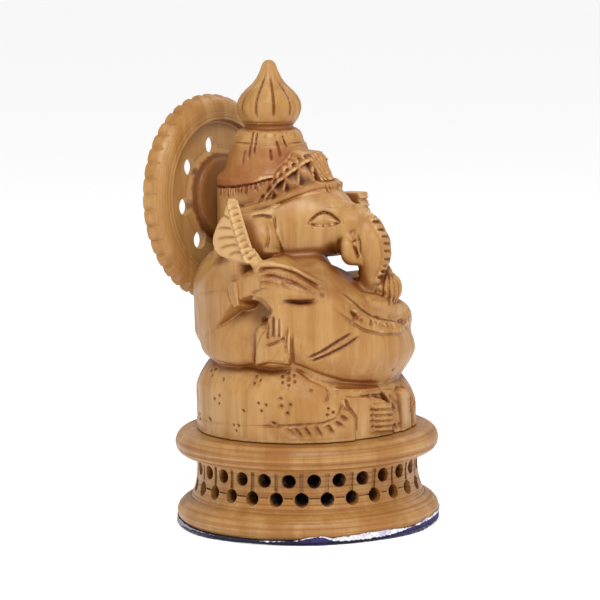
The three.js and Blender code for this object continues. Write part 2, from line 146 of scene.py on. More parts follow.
class Relief:
    def __init__(self, radius):
        self.radius = radius.astype(np.float32)
        self.cut = np.zeros_like(self.radius)   # depth of the dark knife cuts

    def groove(self, path, width, depth, ends=(0.15, 0.15), dark=1.0):
        # a knife cut of V section that runs out at its ends
        gap, along = lineGap(path)
        amount = wedge(gap, width) * taper(along, *ends) * depth
        self.radius -= amount
        self.cut = np.maximum(self.cut, amount * dark)

    def welt(self, path, width, rise, ends=(0.15, 0.15)):
        gap, along = lineGap(path)
        self.radius += np.sqrt(np.clip(1 - (gap / width) ** 2, 0, 1)) * taper(along, *ends) * rise

    def dot(self, t, z, size, depth, dark=1.0):
        gap = np.hypot(around(t), height - z)
        amount = np.clip(1.3 - gap / size, 0, 1) * depth
        self.radius -= amount
        self.cut = np.maximum(self.cut, amount * dark)

    def limb(self, path, blend=1.0, drop=3.5):
        # a rounded arm laid on the log; each point is turn, height, half width, radius of its crest
        gap, along = lineGap(path)
        steps = np.hypot(*np.diff(np.array(unrolled([point[:2] for point in path], middle(path))), axis=0).T)
        stops = np.concatenate([[0], np.cumsum(steps)]) / steps.sum()
        half = np.interp(along, stops, [p[2] for p in path])
        crest = np.interp(along, stops, [p[3] for p in path])
        share = gap / half
        surface = crest - drop * (1 - np.sqrt(np.clip(1 - share * share, 0, 1))) - 40 * np.clip(share - 1, 0, 5)
        self.radius = smoothMax(self.radius, surface, blend)

    def plate(self, outline, surface, edge=0.5, blend=0.3):
        # raises an outlined patch to a surface, with walls that lean a little
        wall = np.clip(areaGap(outline) + edge, 0, 50) * 4
        self.radius = smoothMax(self.radius, surface - wall, blend)

    def sink(self, outline, surface, edge=0.5, blend=0.3, slope=4.0):
        # and lowers one
        wall = np.clip(areaGap(outline) + edge, 0, 50) * slope
        self.radius = smoothMin(self.radius, surface + wall, blend)


def facet(t, radius, tilt=0.0, z=60.0):
    # a flat knife facet that looks towards one turn
    angle = np.radians(np.clip((turn - t + 180) % 360 - 180, -60, 60))
    return (radius + (height - z) * tilt) / np.cos(angle)


# the waist where the body sits on the lap rises and falls round the log
waistTurns = [-180, -142, -100, -70, -38, 0, 16, 30, 43, 50, 60, 71, 92, 119, 142, 180]
waistHeights = [55, 55, 54, 50.6, 48.4, 48.2, 48.8, 49.8, 51.8, 53.4, 55.6, 54.9, 55.6, 57, 54.9, 55]
waistLine = np.interp(turn, waistTurns, waistHeights)


def shoulderLine():
    # height where the shoulders start to round over, and how far they rise from there
    sideness = smoothStep(turn, -1, 44)
    backness = np.where(turn > 0, smoothStep(turn, 84, 118), smoothStep(-turn, 88, 128))
    leftness = smoothStep(-turn, -1, 22)
    lines = []
    for k in range(2):
        forward = mix(log["shoulderFront"][k], log["shoulderSide"][k], sideness)
        forward = mix(forward, log["shoulderLeft"][k], leftness)
        lines.append(mix(forward, log["shoulderBack"][k], backness))
    return lines


def carveLog():
    spread = np.where(height > waistLine, log["waistSpread"], log["waistSpread"] - 0.5)
    away = np.clip(np.abs(height - waistLine) / spread, 0, 1)
    start, rise = shoulderLine()
    dome = np.sqrt(1 - np.clip((height - start) / rise, 0, 1) ** 2)
    relief = Relief((log["radius"] - log["waistDepth"] * (1 - away) ** 1.4) * dome)
    # the knife leaves the whole surface a little uneven
    rng = np.random.default_rng(2)
    for _ in range(14):
        wave = np.radians(turn) * rng.integers(3, 26) + height * rng.uniform(-0.7, 0.7) + rng.uniform(0, 6.3)
        relief.radius += log["uneven"] * np.sin(wave)
    carveArms(relief)
    carveBelly(relief)
    carveLap(relief)
    carveFoot(relief)
    return relief


# Arms and hands on the log
arms = dict(hollowDepth=8.4, handTurn=67.5, handRadius=36.0, fingerCut=0.6, fingerDepth=1.15)


def carveArms(relief):
    groove, welt, limb, plate, sink = relief.groove, relief.welt, relief.limb, relief.plate, relief.sink
    # the front arm's elbow swells out under the raised forearm
    limb([(124, 61.5, 5, 35.6), (108, 61.8, 6.4, 36.4), (94, 61.6, 6.2, 36.2), (82, 62, 5, 35.2)], 2.0)
    # hollow under the forearm: sharp above, running out over the elbow
    arch = [(123, 62.2), (111.4, 65.7), (100.2, 69.7), (92.3, 73.9), (84.4, 76.4), (79.9, 77.2), (75.7, 76.6),
            (72.4, 74.1), (71.9, 71), (77.2, 68.3), (79.4, 63), (80, 57.5), (96, 56.6), (112, 58)]
    inward = ((104 - turn) * log["perDegree"] * 0.66 + (height - 60) * 0.75) / 22
    floor = 36.3 - arms["hollowDepth"] * smoothStep(inward, 0.08, 1.0)
    sink(arch, floor, 0.2, 0.5, 3.2)
    groove([(118, 62.8), (111.4, 65.9), (100.2, 69.9), (92.3, 74), (84, 76.4), (78, 76.9)], 0.7, 0.5, dark=0.4)
    groove([(80.3, 71.5), (76.8, 69.6), (78.6, 66)], 1.6, 1.2, (0.3, 0.3), dark=0.5)
    # bridge of wood from the wrist down to the blessing hand
    plate([(82.5, 77.9), (75, 81.6), (68.4, 82), (66.6, 76.5), (67.5, 73.5), (72.2, 74.5), (76, 77)],
          facet(70, 34.6, -0.02, 78), 0.4, 1.2)
    # wrist block and palm with three cut fingers
    plate([(79.6, 56.6), (79.2, 67.2), (77.5, 69.4), (72.5, 70), (71.5, 58)], facet(80, 35.3, 0.0), 0.3, 0.5)
    plate([(73.6, 58), (73.8, 63.6), (72.6, 69), (71, 72.6), (69.2, 74.6), (64.6, 74.6), (62.0, 73.4), (61.2, 57.4)],
          facet(arms["handTurn"], arms["handRadius"], 0.015, 66), 0.3, 0.35)
    sink([(73.8, 58), (72.6, 63.2), (62.8, 65.8), (60, 58)], facet(arms["handTurn"], 35.4, -0.03, 66), 0.1, 0.2)
    plate([(69.2, 58.6), (62.9, 58.2), (62.7, 64.6)], facet(64, 35.9, -0.03, 62), 0.1, 0.3)
    groove([(72.4, 63.3), (68, 64.3), (62.7, 65.9)], 0.5, 0.6, (0.05, 0.05))
    groove([(71.2, 65.2), (71, 70.6)], arms["fingerCut"], 0.95)
    groove([(68.4, 65.8), (68.2, 73)], arms["fingerCut"], arms["fingerDepth"])
    groove([(65.5, 65.4), (65.3, 72.6)], arms["fingerCut"], arms["fingerDepth"])
    groove([(80.2, 56.6), (79.8, 61), (79.6, 65)], 0.6, 1.3, (0.05, 0.4))
    # raised strip beside the hand
    groove([(61.6, 57.4), (61.6, 66), (62, 72)], 0.5, 0.5, (0.05, 0.3), dark=0.3)
    welt([(60.6, 57.4), (60.6, 68.6)], 0.75, 0.75, (0.02, 0.2))
    groove([(59.2, 57.2), (59.2, 68.2)], 0.65, 0.95, (0.05, 0.3), dark=0.35)
    # near forearm: armlet line and the slanting bracelet
    groove([(128, 77.6), (116.4, 78.6), (104.7, 79.8), (96, 80.9)], 0.55, 0.5, (0.5, 0.1), dark=0.5)
    plate([(95.2, 82.5), (92.7, 83.3), (89, 83.3), (87.3, 75.8), (90.8, 74.9), (94.4, 78.5)],
          facet(98, 36.3, 0.02, 79), 0.2, 0.3)
    groove([(91.9, 82.9), (90.6, 79), (89.8, 75.6)], 0.45, 0.5, dark=0.6)
    groove([(95.6, 82.4), (94.9, 78.6), (91.4, 74.8)], 0.4, 0.45, dark=0.5)
    limb([(120, 79, 5, 35), (107, 84.6, 5.4, 34.4), (95, 87.2, 5, 34.4)], 3.0, 4)
    # near fist: four fingers that turn into the two folds running down to the chest
    limb([(86, 82, 4.6, 35.2), (77, 84.4, 4.2, 35.3), (70, 84.6, 3.4, 34.6)], 2.0, 4)
    limb([(78, 87.2, 1.1, 35.6), (74.6, 89, 1.3, 35.8), (69.8, 88.9, 1.3, 35.4), (59.2, 87.1, 1.4, 33),
          (48.2, 83.8, 1.3, 32.9), (40, 82, 1.0, 33.4)], 0.5, 1.6)
    limb([(75.4, 86.1, 1.0, 36.2), (70, 87.1, 1.1, 36), (59.3, 85.1, 1.3, 34.4), (50.4, 82, 1.2, 34.6),
          (45, 80, 1.0, 35.2)], 0.4, 1.5)
    limb([(74.6, 84.6, 1.0, 36.2), (69.2, 85.1, 1.1, 35.9), (63.6, 83.7, 1.1, 34.9)], 0.4, 1.5)
    limb([(74, 82.6, 0.9, 36), (69, 83, 1.0, 35.4), (65, 82, 0.9, 34.8)], 0.4, 1.3)
    limb([(66, 80.8, 2.5, 35.2), (56, 80.5, 2.9, 36.1), (47.6, 79.1, 1.8, 36.1)], 0.8, 3)
    groove([(75.4, 87.4), (73.4, 88.2), (65.4, 88), (56.4, 86.1), (47.4, 83), (43.6, 81.4)], 0.5, 0.95)
    groove([(73.6, 85.4), (68.1, 85.8), (59.4, 84.1), (51.9, 81.7), (47.4, 80.3)], 0.5, 0.95)
    groove([(73, 83.6), (68.4, 83.9), (62.6, 82.6)], 0.42, 0.7)
    groove([(81.8, 79.3), (77.2, 80.8), (69.6, 82.2)], 0.5, 0.7, (0.2, 0.1), dark=0.6)
    groove([(89.4, 85.4), (84.6, 88.2), (80.4, 90.6)], 0.7, 0.5, (0.3, 0.3), dark=0.4)
    groove([(86.4, 83.8), (82.4, 86.6), (79, 88.8)], 0.5, 0.35, (0.3, 0.3), dark=0.4)
    # left front arm along the belly, its hand under the sweet
    limb([(-112, 60.5, 6.4, 36), (-86, 61.5, 6.6, 36.4), (-62, 65, 6, 36.2), (-38, 66.8, 5.4, 35.5),
          (-18, 70.6, 4.6, 34.9), (0, 73.4, 3.8, 34.6), (12, 75.4, 3.0, 34.4)], 1.6, 4.5)
    groove([(32, 80.4), (30.4, 79.4), (24.6, 76.6), (20.3, 73.9), (13.8, 71.3), (5.3, 69.7), (-6.4, 68.2), (-16, 66.8)],
           0.65, 1.0, (0.1, 0.3))
    groove([(-30, 62.6), (-52, 59), (-76, 56.6), (-98, 55.6)], 0.9, 0.7, (0.3, 0.3), dark=0.3)
    # left rear arm, plainer than the near one
    limb([(-124, 72, 6.4, 35.8), (-106, 69, 6, 36.2), (-92, 70, 5.6, 36), (-80, 73.5, 4.6, 35), (-72, 75.4, 3.6, 34)],
         1.6, 4)
    groove([(-122, 63.5), (-106, 66), (-92, 68.6), (-80, 74), (-68, 78)], 1.6, 1.8, (0.25, 0.25), dark=0.3)
    groove([(-128, 78), (-116, 78.6), (-104, 80)], 0.55, 0.5, (0.5, 0.1), dark=0.5)
    for k in range(4):
        limb([(-84, 79.4 - k * 2.1, 1.1, 34.8), (-77, 79.2 - k * 2.1, 1.2, 35.2), (-70, 78.4 - k * 2, 1.1, 34)], 0.4,
             1.5)


# Belly: sash, slit under the chest and the two slanting cuts
belly = dict(sashRise=1.1, sashCuts=30, sashPits=26, lineWidth=0.52, lineDepth=1.15)


def spotOn(path, share):
    # a point part of the way along a path, counted in its stretches
    spot = share * (len(path) - 1)
    k = min(int(spot), len(path) - 2)
    return [mix(path[k][axis], path[k + 1][axis], spot - k) for axis in (0, 1)]


def carveBelly(relief):
    groove, welt, dot = relief.groove, relief.welt, relief.dot
    # the belly draws in beside the blessing hand
    hollow = smoothStep(turn, 40, 52) * (1 - smoothStep(turn, 62, 66))
    hollow = hollow * smoothStep(height, 60, 68) * (1 - smoothStep(height, 76, 79))
    relief.radius -= 1.9 * hollow
    sashLine = [(41, 78.4), (33.6, 75.4), (26, 72.4), (18, 69.6), (8, 67.9), (-4, 67.2), (-16, 67.2), (-30, 69)]
    welt(sashLine, 2.5, belly["sashRise"], (0.12, 0.12))
    rng = np.random.default_rng(11)
    for share in np.linspace(0.24, 0.97, belly["sashCuts"]):
        t, z = spotOn(sashLine, share)
        t, z = t + rng.uniform(-1.2, 1.2), z + rng.uniform(-0.7, 0.7)
        lean, half = rng.uniform(-1.5, 2.5), rng.uniform(0.8, 1.9)
        cut = [(t - lean, z - half), (t, z), (t + lean, z + half)]
        groove(cut, rng.uniform(0.7, 1.05), rng.uniform(0.7, 1.15), (0.25, 0.25), dark=0.4)
    for share in np.linspace(0.18, 0.95, belly["sashPits"]):
        t, z = spotOn(sashLine, share)
        t, z = t + rng.uniform(-2, 2), z + rng.uniform(-1.2, 2.6)
        dot(t, z, rng.uniform(0.45, 0.8), rng.uniform(0.35, 0.65), 0.35)
    groove([(41.4, 77), (36.6, 74.2), (28.5, 70.6), (20.8, 67.4), (10, 65.2), (-4, 64.3), (-18, 64.4)], 0.6, 0.5,
           (0.1, 0.3), dark=0.4)
    # slit under the chest, three single pricks and the two slanting cuts
    groove([(66, 77.6), (59.8, 77.5), (54.8, 77.1), (48.9, 77.3), (44, 78)], 0.95, 2.0, (0.4, 0.4))
    dot(42.6, 79.3, 0.85, 0.9, 0.8)
    dot(27.3, 70.7, 0.4, 0.5)
    dot(-3.7, 52.6, 0.5, 0.9)
    groove([(51.6, 59.1), (43.6, 61.4), (35.2, 64.5), (26.8, 67.1)], belly["lineWidth"], belly["lineDepth"])
    groove([(50.8, 57.9), (42.2, 60), (31.3, 62.9), (22.3, 65.9)], belly["lineWidth"], belly["lineDepth"])
    # creases where the body sits on the lap
    groove([(61, 57.3), (52.7, 55.7), (43, 53.2), (30.3, 50.7), (16.2, 49.4), (3.7, 48.5)], 1.0, 0.9, (0.05, 0.2),
           dark=0.4)
    groove([(120, 57.4), (102.6, 56.1), (91.9, 55.7), (82.8, 55.1), (71, 54.7), (64, 55.4)], 0.9, 0.8, (0.3, 0.1),
           dark=0.45)
    groove([(58, 55.6), (49.6, 51.8), (43.6, 50.2), (40.4, 49.2)], 0.55, 0.6, dark=0.5)
    groove([(40.6, 50), (39.6, 47.6), (41, 45.6), (43.6, 44.6)], 0.6, 0.9, (0.2, 0.3), dark=0.7)
    groove([(-180, 55), (-142, 55), (-100, 54), (-70, 50.8), (-38, 48.6), (-20, 48.3)], 0.8, 0.5, (0.1, 0.1), dark=0.25)
    groove([(120, 57), (142, 55), (179.5, 55)], 0.8, 0.5, (0.1, 0.1), dark=0.25)


# Lap: pricked flowers, small nicks and the hem that ends in a twisted rope
lap = dict(dotSize=0.42, dotDepth=1.1, nickWidth=0.6, leftCuts=7)
# each is turn, height, spread and spin
trefoils = [(113.8, 52.6, 1.2, 10), (79.8, 51.7, 1.25, 60), (104.3, 44.5, 1.5, 0), (75.1, 43.7, 1.5, 40),
            (62.2, 43.4, 1.7, 20), (91, 36.2, 1.2, 30), (40.2, 41.8, 1.2, 70), (127, 36.9, 1.0, 15), (134, 44, 1.2, 50),
            (150, 50.5, 1.3, 0), (158, 41, 1.3, 35), (176, 47, 1.4, 70), (-166, 38.6, 1.2, 10), (-148, 49, 1.3, 45),
            (-128, 42, 1.4, 0), (-108, 48.6, 1.3, 30), (-92, 40.5, 1.3, 65), (-70, 44.5, 1.3, 15), (-50, 40.8, 1.3, 50),
            (-33, 43.2, 1.1, 20)]


def carveLap(relief):
    groove, dot, plate = relief.groove, relief.dot, relief.plate
    plate([(100, 31), (100, 36.2), (88, 36.7), (70, 37.3), (54.7, 37.8), (44.2, 38.1), (36.5, 39.6), (33.4, 43),
           (31.6, 45.9), (27.4, 45.9), (23.4, 39.5), (25, 36), (26, 31)], 36.35 + 0 * turn, 0.2, 0.25)
    groove([(96, 36.5), (88, 36.7), (70, 37.3), (54.7, 37.8), (44.2, 38.1), (36.8, 39.5), (33.4, 43), (31.5, 46)],
           0.6, 0.75, (0.4, 0.05), dark=0.5)
    ropeCuts = [((62, 36.8), (56.4, 33.6)), ((58, 36.9), (53.4, 33.2)), ((53, 37.2), (49.4, 33.4)),
                ((47.6, 37.5), (44, 33.4)), ((41.2, 37.6), (37.6, 34)), ((37, 38.6), (32, 36.4)),
                ((34.2, 40.3), (29.4, 38.4)), ((32.4, 42.8), (27.4, 41))]
    for k, (top, low) in enumerate(ropeCuts):
        groove([(top[0] + 1.5, top[1]), (low[0] + 1.5, low[1])], 1.5 if k else 0.9, 0.75, (0.1, 0.3), dark=0.1)
        groove([top, low], 0.44, 0.95 if k else 0.6, (0.1, 0.45), dark=0.9)
    for t, z, spread, spin in trefoils:
        for k in range(3):
            angle = math.radians(spin + 120 * k)
            dot(t + spread * math.cos(angle) / log["perDegree"], z + spread * math.sin(angle), lap["dotSize"],
                lap["dotDepth"])
    # one larger flower with six petals
    dot(61.6, 52.4, 0.75, 0.9, 0.8)
    for k in range(6):
        angle = math.radians(25 + 60 * k)
        dot(61.6 + 2.4 * math.cos(angle) / log["perDegree"], 52.3 + 1.9 * math.sin(angle), lap["dotSize"],
            lap["dotDepth"])
    nicks = [((87.5, 42.4), (84.6, 41.3)), ((115, 37.6), (110.3, 36.8)), ((70.8, 38.6), (66.8, 38)),
             ((103.3, 51.6), (101.2, 50)), ((66.4, 46.5), (64, 46.4)), ((131.8, 42.4), (131, 41.2)),
             ((50.6, 48.9), (47.8, 48.4)), ((-60, 39), (-62, 37.6)), ((-84, 46), (-87, 45.2)),
             ((-118, 38), (-121, 38.6)), ((168, 38), (165, 37.2))]
    for path in nicks:
        groove(path, lap["nickWidth"], 1.0, (0.3, 0.4))
    hemBack = [(100, 36.4), (120, 36.2), (150, 36), (179.5, 36)]
    hemLeft = [(-179.5, 36), (-140, 36.2), (-100, 36.6), (-60, 37.4), (-40, 38.6), (-27, 41)]
    for path in (hemBack, hemLeft):
        groove(path, 0.55, 0.4, (0.02, 0.1), dark=0.3)
    for k in range(lap["leftCuts"]):
        t = -28 - k * 4.6
        top = 40.6 - 2.6 * smoothStep(np.float32(-t), 26, 44)
        groove([(t, top), (t + 3.4, top - 3.6)], 0.8, 0.95, (0.1, 0.6), dark=0.7)


# Foot with its toes, and the roughly cut end of the cloth beside it
foot = dict(toes=5, toeLow=33.9, toePitch=1.87, clothCuts=22)


def carveFoot(relief):
    groove, limb, plate, sink = relief.groove, relief.limb, relief.plate, relief.sink
    # the log is cut back, and the shin, the foot and the cloth stand in front of that
    well = [(32, 46.6), (30.2, 43), (25, 39.2), (25, 31), (-21, 31), (-22, 42), (-20, 48), (8, 48.2), (30, 49)]
    sink(well, 32.4 + 1.9 * smoothStep(turn, 18, 26), 0.1, 0.9, 1.6)
    plate([(36, 48.9), (33, 46.4), (20, 45.6), (6, 45.4), (5.6, 47.6), (18, 47.9)], 33.8 + 0 * turn, 0.2, 0.3)
    plate([(31, 46), (29.2, 42.8), (24.6, 39.2), (25.6, 31), (12, 31), (12, 44.6), (18, 45.4)],
          facet(18, 34.6, -0.04, 40), 0.2, 0.3)
    plate([(12.6, 44.4), (8.5, 44.2), (5, 43.2), (2, 41.6), (12.6, 41)], facet(12, 35.2, -0.05, 40), 0.2, 0.4)
    plate([(14.4, 31), (14.4, 45.4), (1, 42), (-1, 38), (-1, 31)], facet(8, 34.9, -0.02, 38), 0.2, 0.3)
    for k in range(foot["toes"]):
        z = foot["toeLow"] + k * foot["toePitch"]
        limb([(14.2, z + 0.5, 1.08, 35.9), (7, z + 0.2, 1.12, 36.4), (1.4 - 0.5 * (k % 2), z - 0.2, 1.0, 36.1)], 0.12,
             1.3)
    for k in range(foot["toes"] - 1):
        z = foot["toeLow"] + (k + 0.5) * foot["toePitch"]
        groove([(14.8, z + 0.55), (8, z + 0.15), (1.2, z - 0.35)], 0.34, 0.5, (0.02, 0.15), dark=0.9)
    groove([(14.7, 43), (15, 38), (14.8, 34)], 0.5, 0.9, (0.2, 0.05))
    groove([(14.6, 34), (10, 33.4), (2, 33.1)], 0.4, 0.8, dark=0.6)
    # cloth end: torn knife work, then a smooth edge
    rough = [(-0.8, 31), (-0.8, 42.5), (5, 46.4), (-5, 46), (-8, 45.6), (-9.6, 31)]
    plate(rough, 34.2 - 0.12 * (height - 38) + 0 * turn, 0.2, 0.3)
    rng = np.random.default_rng(5)
    for _ in range(foot["clothCuts"]):
        z = rng.uniform(33, 45.5)
        t = rng.uniform(-9, 0.5) + (z - 38) * 0.35
        top = (t + rng.uniform(0.5, 3), z + rng.uniform(0.6, 2))
        low = (t - rng.uniform(0.5, 2.5), z - rng.uniform(0.8, 2.4))
        groove([top, low], rng.uniform(0.4, 0.8), rng.uniform(0.4, 1.0), (0.2, 0.3), dark=0.6)
    groove([(6, 46.4), (0.5, 43), (-1.4, 40), (-1.6, 33)], 0.5, 1.0, (0.1, 0.1))
    plate([(-9.2, 31), (-8.8, 44.6), (-12, 45.8), (-20, 44.6), (-21.5, 31)], facet(-15, 35.7, -0.01, 40), 0.2, 0.3)
    groove([(-9.4, 33), (-9, 44)], 0.5, 0.9)
    for z in (37.4, 38.8, 40.1, 41.4):
        groove([(-19.8, z + 0.4), (-17.2, z)], 0.35, 0.5)


# The block of wood that the figure is cut from: a grid of distances to the surface
class Block:
    def __init__(self, low, high, step):
        self.step = step
        self.low = np.array(low, np.float32)
        self.axes = [np.arange(low[k], high[k], step, dtype=np.float32) for k in range(3)]
        self.values = np.full([len(axis) for axis in self.axes], 8.0, np.float32)
        self.cut = np.zeros_like(self.values)

    def window(self, low, high):
        cuts = [slice(*np.searchsorted(self.axes[k], (low[k], high[k]))) for k in range(3)]
        x, y, z = (self.axes[k][cuts[k]] for k in range(3))
        return tuple(cuts), x[:, None, None], y[None, :, None], z[None, None, :]

    def join(self, low, high, shape, blend=0.0):
        where, x, y, z = self.window(low, high)
        self.values[where] = smoothMin(self.values[where], shape(x, y, z), blend)

    def remove(self, low, high, shape, blend=0.0):
        where, x, y, z = self.window(low, high)
        self.values[where] = smoothMax(self.values[where], -shape(x, y, z), blend)

    def press(self, low, high, amount, dark=1.0):
        # knife cuts: pushes the surface in by an amount
        where, x, y, z = self.window(low, high)
        depth = amount(x, y, z)
        self.values[where] += depth
        self.cut[where] = np.maximum(self.cut[where], depth * dark)


# A ball is an ellipsoid, turned about z by its yaw; a mirrored shape stands on both sides of the figure
def ballShape(centre, radii, yaw=0.0, mirrored=False):
    cx, cy, cz = centre
    c, s = math.cos(math.radians(yaw)), math.sin(math.radians(yaw))
    smallest = min(radii)

    def shape(x, y, z):
        across = (np.abs(x) if mirrored else x) - cx
        u, v = across * c + (y - cy) * s, (y - cy) * c - across * s
        span = np.sqrt((u / radii[0]) ** 2 + (v / radii[1]) ** 2 + ((z - cz) / radii[2]) ** 2)
        flat = np.sqrt((u / radii[0] ** 2) ** 2 + (v / radii[1] ** 2) ** 2 + ((z - cz) / radii[2] ** 2) ** 2)
        return np.where(span > 0.2, span * (span - 1) / np.maximum(flat, 1e-6), (span - 1) * smallest)
    return shape


def rodShape(path, mirrored=False):
    # a round rod of changing thickness through points of x, y, z and radius
    def shape(x, y, z):
        ax = np.abs(x) if mirrored else x
        best = None
        for (x0, y0, z0, r0), (x1, y1, z1, r1) in zip(path[:-1], path[1:]):
            dx, dy, dz = x1 - x0, y1 - y0, z1 - z0
            size = dx * dx + dy * dy + dz * dz
            share = np.clip(((ax - x0) * dx + (y - y0) * dy + (z - z0) * dz) / size, 0, 1)
            gap = np.sqrt((ax - x0 - share * dx) ** 2 + (y - y0 - share * dy) ** 2 + (z - z0 - share * dz) ** 2)
            gap = gap - (r0 + (r1 - r0) * share)
            best = gap if best is None else smoothMin(best, gap, 0.8)
        return best
    return shape


block = dict(step=0.36, low=(-37.6, -37.6, 31.2), high=(37.6, 37.0, 153.4))


def fillLog(wood, relief):
    # the relief map's slopes turn a difference in radius into a distance
    acrossTurn = np.gradient(relief.radius, log["turnStep"], axis=0) * 57.3 / np.maximum(relief.radius, 1)
    acrossHeight = np.gradient(relief.radius, log["heightStep"], axis=1)
    slope = np.sqrt(1 + np.clip(acrossTurn ** 2 + acrossHeight ** 2, 0, 20)).astype(np.float32)
    x, y = np.meshgrid(wood.axes[0], wood.axes[1], indexing="ij")
    reach = np.hypot(x, y).astype(np.float32)
    column = (np.degrees(np.arctan2(-x, -y)) + 180) / log["turnStep"]
    left = np.floor(column).astype(np.int32) % len(turns)
    right = (left + 1) % len(turns)
    share = (column - np.floor(column)).astype(np.float32)
    for k, z in enumerate(wood.axes[2]):
        row = (z - heights[0]) / log["heightStep"]
        if row > len(heights) - 2:
            break
        low = int(row)
        part = np.float32(row - low)
        radius, steep, dark = (mix(m[:, low], m[:, low + 1], part) for m in (relief.radius, slope, relief.cut))
        surface = mix(radius[left], radius[right], share)
        wood.values[:, :, k] = np.clip((reach - surface) / mix(steep[left], steep[right], share), -8, 8)
        wood.cut[:, :, k] = mix(dark[left], dark[right], share)


# Directions on the head are taken in a side view: u runs to the viewer's right and v runs up, and the
# other side of the head is its mirror image
def sideView(x, y, z):
    ax = np.abs(x)
    return -0.616 * ax - 0.788 * y, 0.991 * z - 0.131 * (0.788 * ax - 0.616 * y)


def carveStroke(wood, low, high, path, width, depth, ends=(0.2, 0.2), dark=1.0):
    # one knife cut, given in the side view
    def amount(x, y, z):
        u, v = sideView(x, y, z)
        gap, along = lineDistance(u, v, path)
        return wedge(gap, width) * taper(along, *ends) * depth
    wood.press(low, high, amount, dark)


# Head: a wedge that narrows to the trunk, with ears, tusks and a notched ridge down the trunk
head = dict(
    sideReach=17.8, slope=103.0, floor=87.2, round=6.0, roundTop=8.0,
    trunk=[(0, -14, 98, 8.2), (0, -20, 97.6, 8.0), (0, -25, 96, 7.2), (0, -28.2, 93.4, 5.9), (0, -29.1, 90.4, 5.3),
           (0, -28.9, 87.8, 4.9), (0, -28, 85, 4.1), (0.2, -27.5, 82.4, 3.6), (0.4, -27.3, 79.8, 3.1),
           (0.6, -27, 77.4, 2.8)],
    tusk=[(6.0, -22.4, 96.4, 2.3), (6.8, -23.4, 93.4, 2.9), (6.9, -24, 91, 2.9), (6.6, -24.6, 89.8, 2.6),
          (4.4, -26.2, 88.6, 2.0)],
    earFace=[(-9.6, 98.4), (-9, 94), (-7.4, 88.6), (-12.4, 88.6), (-12.2, 91.4), (-11, 94.2), (-11.6, 98.4)],
    notches=[100.6, 98.2, 96.1, 93.9, 91.5, 88.9, 86.7, 84.8, 82.8], ridge=2.2,
)


def headShape(x, y, z):
    # slanting cheeks, a brow that runs down to the trunk, and a nearly level floor
    ax = np.abs(x)
    sides = 0.74 * ax - 0.672 * y - head["sideReach"]
    crest = -0.48 * y + 0.877 * z - head["slope"] + 0.022 * x * x
    whole = smoothMax(sides, crest, head["roundTop"])
    whole = smoothMax(whole, head["floor"] - 0.145 * y - z, head["round"])
    whole = smoothMax(whole, ax - 26.5, 4)
    whole = smoothMax(whole, y - 18 + 0 * x, 4)
    return smoothMax(whole, z - 104.3 + 0.48 * (y - 2.6), 1.5)


def carveHead(wood):
    wood.join((-30, -37, 82), (30, 22, 114), headShape, 2.0)
    wood.join((-16, -38, 70), (16, -10, 108), rodShape(head["trunk"]), 2.6)
    # mouth, neck and tusks
    wood.join((-14, -26, 82), (14, 8, 98), ballShape((0, -18, 92.4), (6, 6.5, 3.4)), 1.5)
    wood.join((-20, -18, 76), (20, 16, 94), ballShape((-4, 1.5, 84.6), (9.5, 9, 5.4)), 3.0)
    wood.join((-14, -28, 82), (14, -14, 101), rodShape(head["tusk"], True), 0.9)
    # ears: thick flat flaps with a scooped face, cut in round it and above
    wood.join((-36, -12, 82), (36, 22, 112), ballShape((20.6, 4.2, 95), (8.2, 11.6, 9.4), 16, True), 1.6)
    low, high = (-36, -12, 84), (36, 12, 104)

    def earFloor(x, y, z):
        u, v = sideView(x, y, z)
        gap = areaDistance(u, v, head["earFace"])
        return 0.55 * smoothStep(-gap, -0.5, 0.9)
    wood.press(low, high, earFloor, 0.0)
    carveStroke(wood, low, high, [(-11.7, 98.4), (-11, 94.2), (-11.4, 91.4), (-12.6, 88.6)], 0.7, 0.95, (0.25, 0.2),
                0.5)
    carveStroke(wood, low, high, [(-9.3, 100.2), (-8.8, 95), (-7.6, 91), (-6.6, 87)], 0.55, 0.75, (0.1, 0.1), 0.4)
    carveStroke(wood, (-36, -12, 92), (36, 16, 108), [(-17, 99.6), (-13, 100.1), (-9.8, 99.4)], 0.7, 0.9, (0.2, 0.1),
                0.7)
    carveEye(wood)
    carveTrunkRidge(wood)


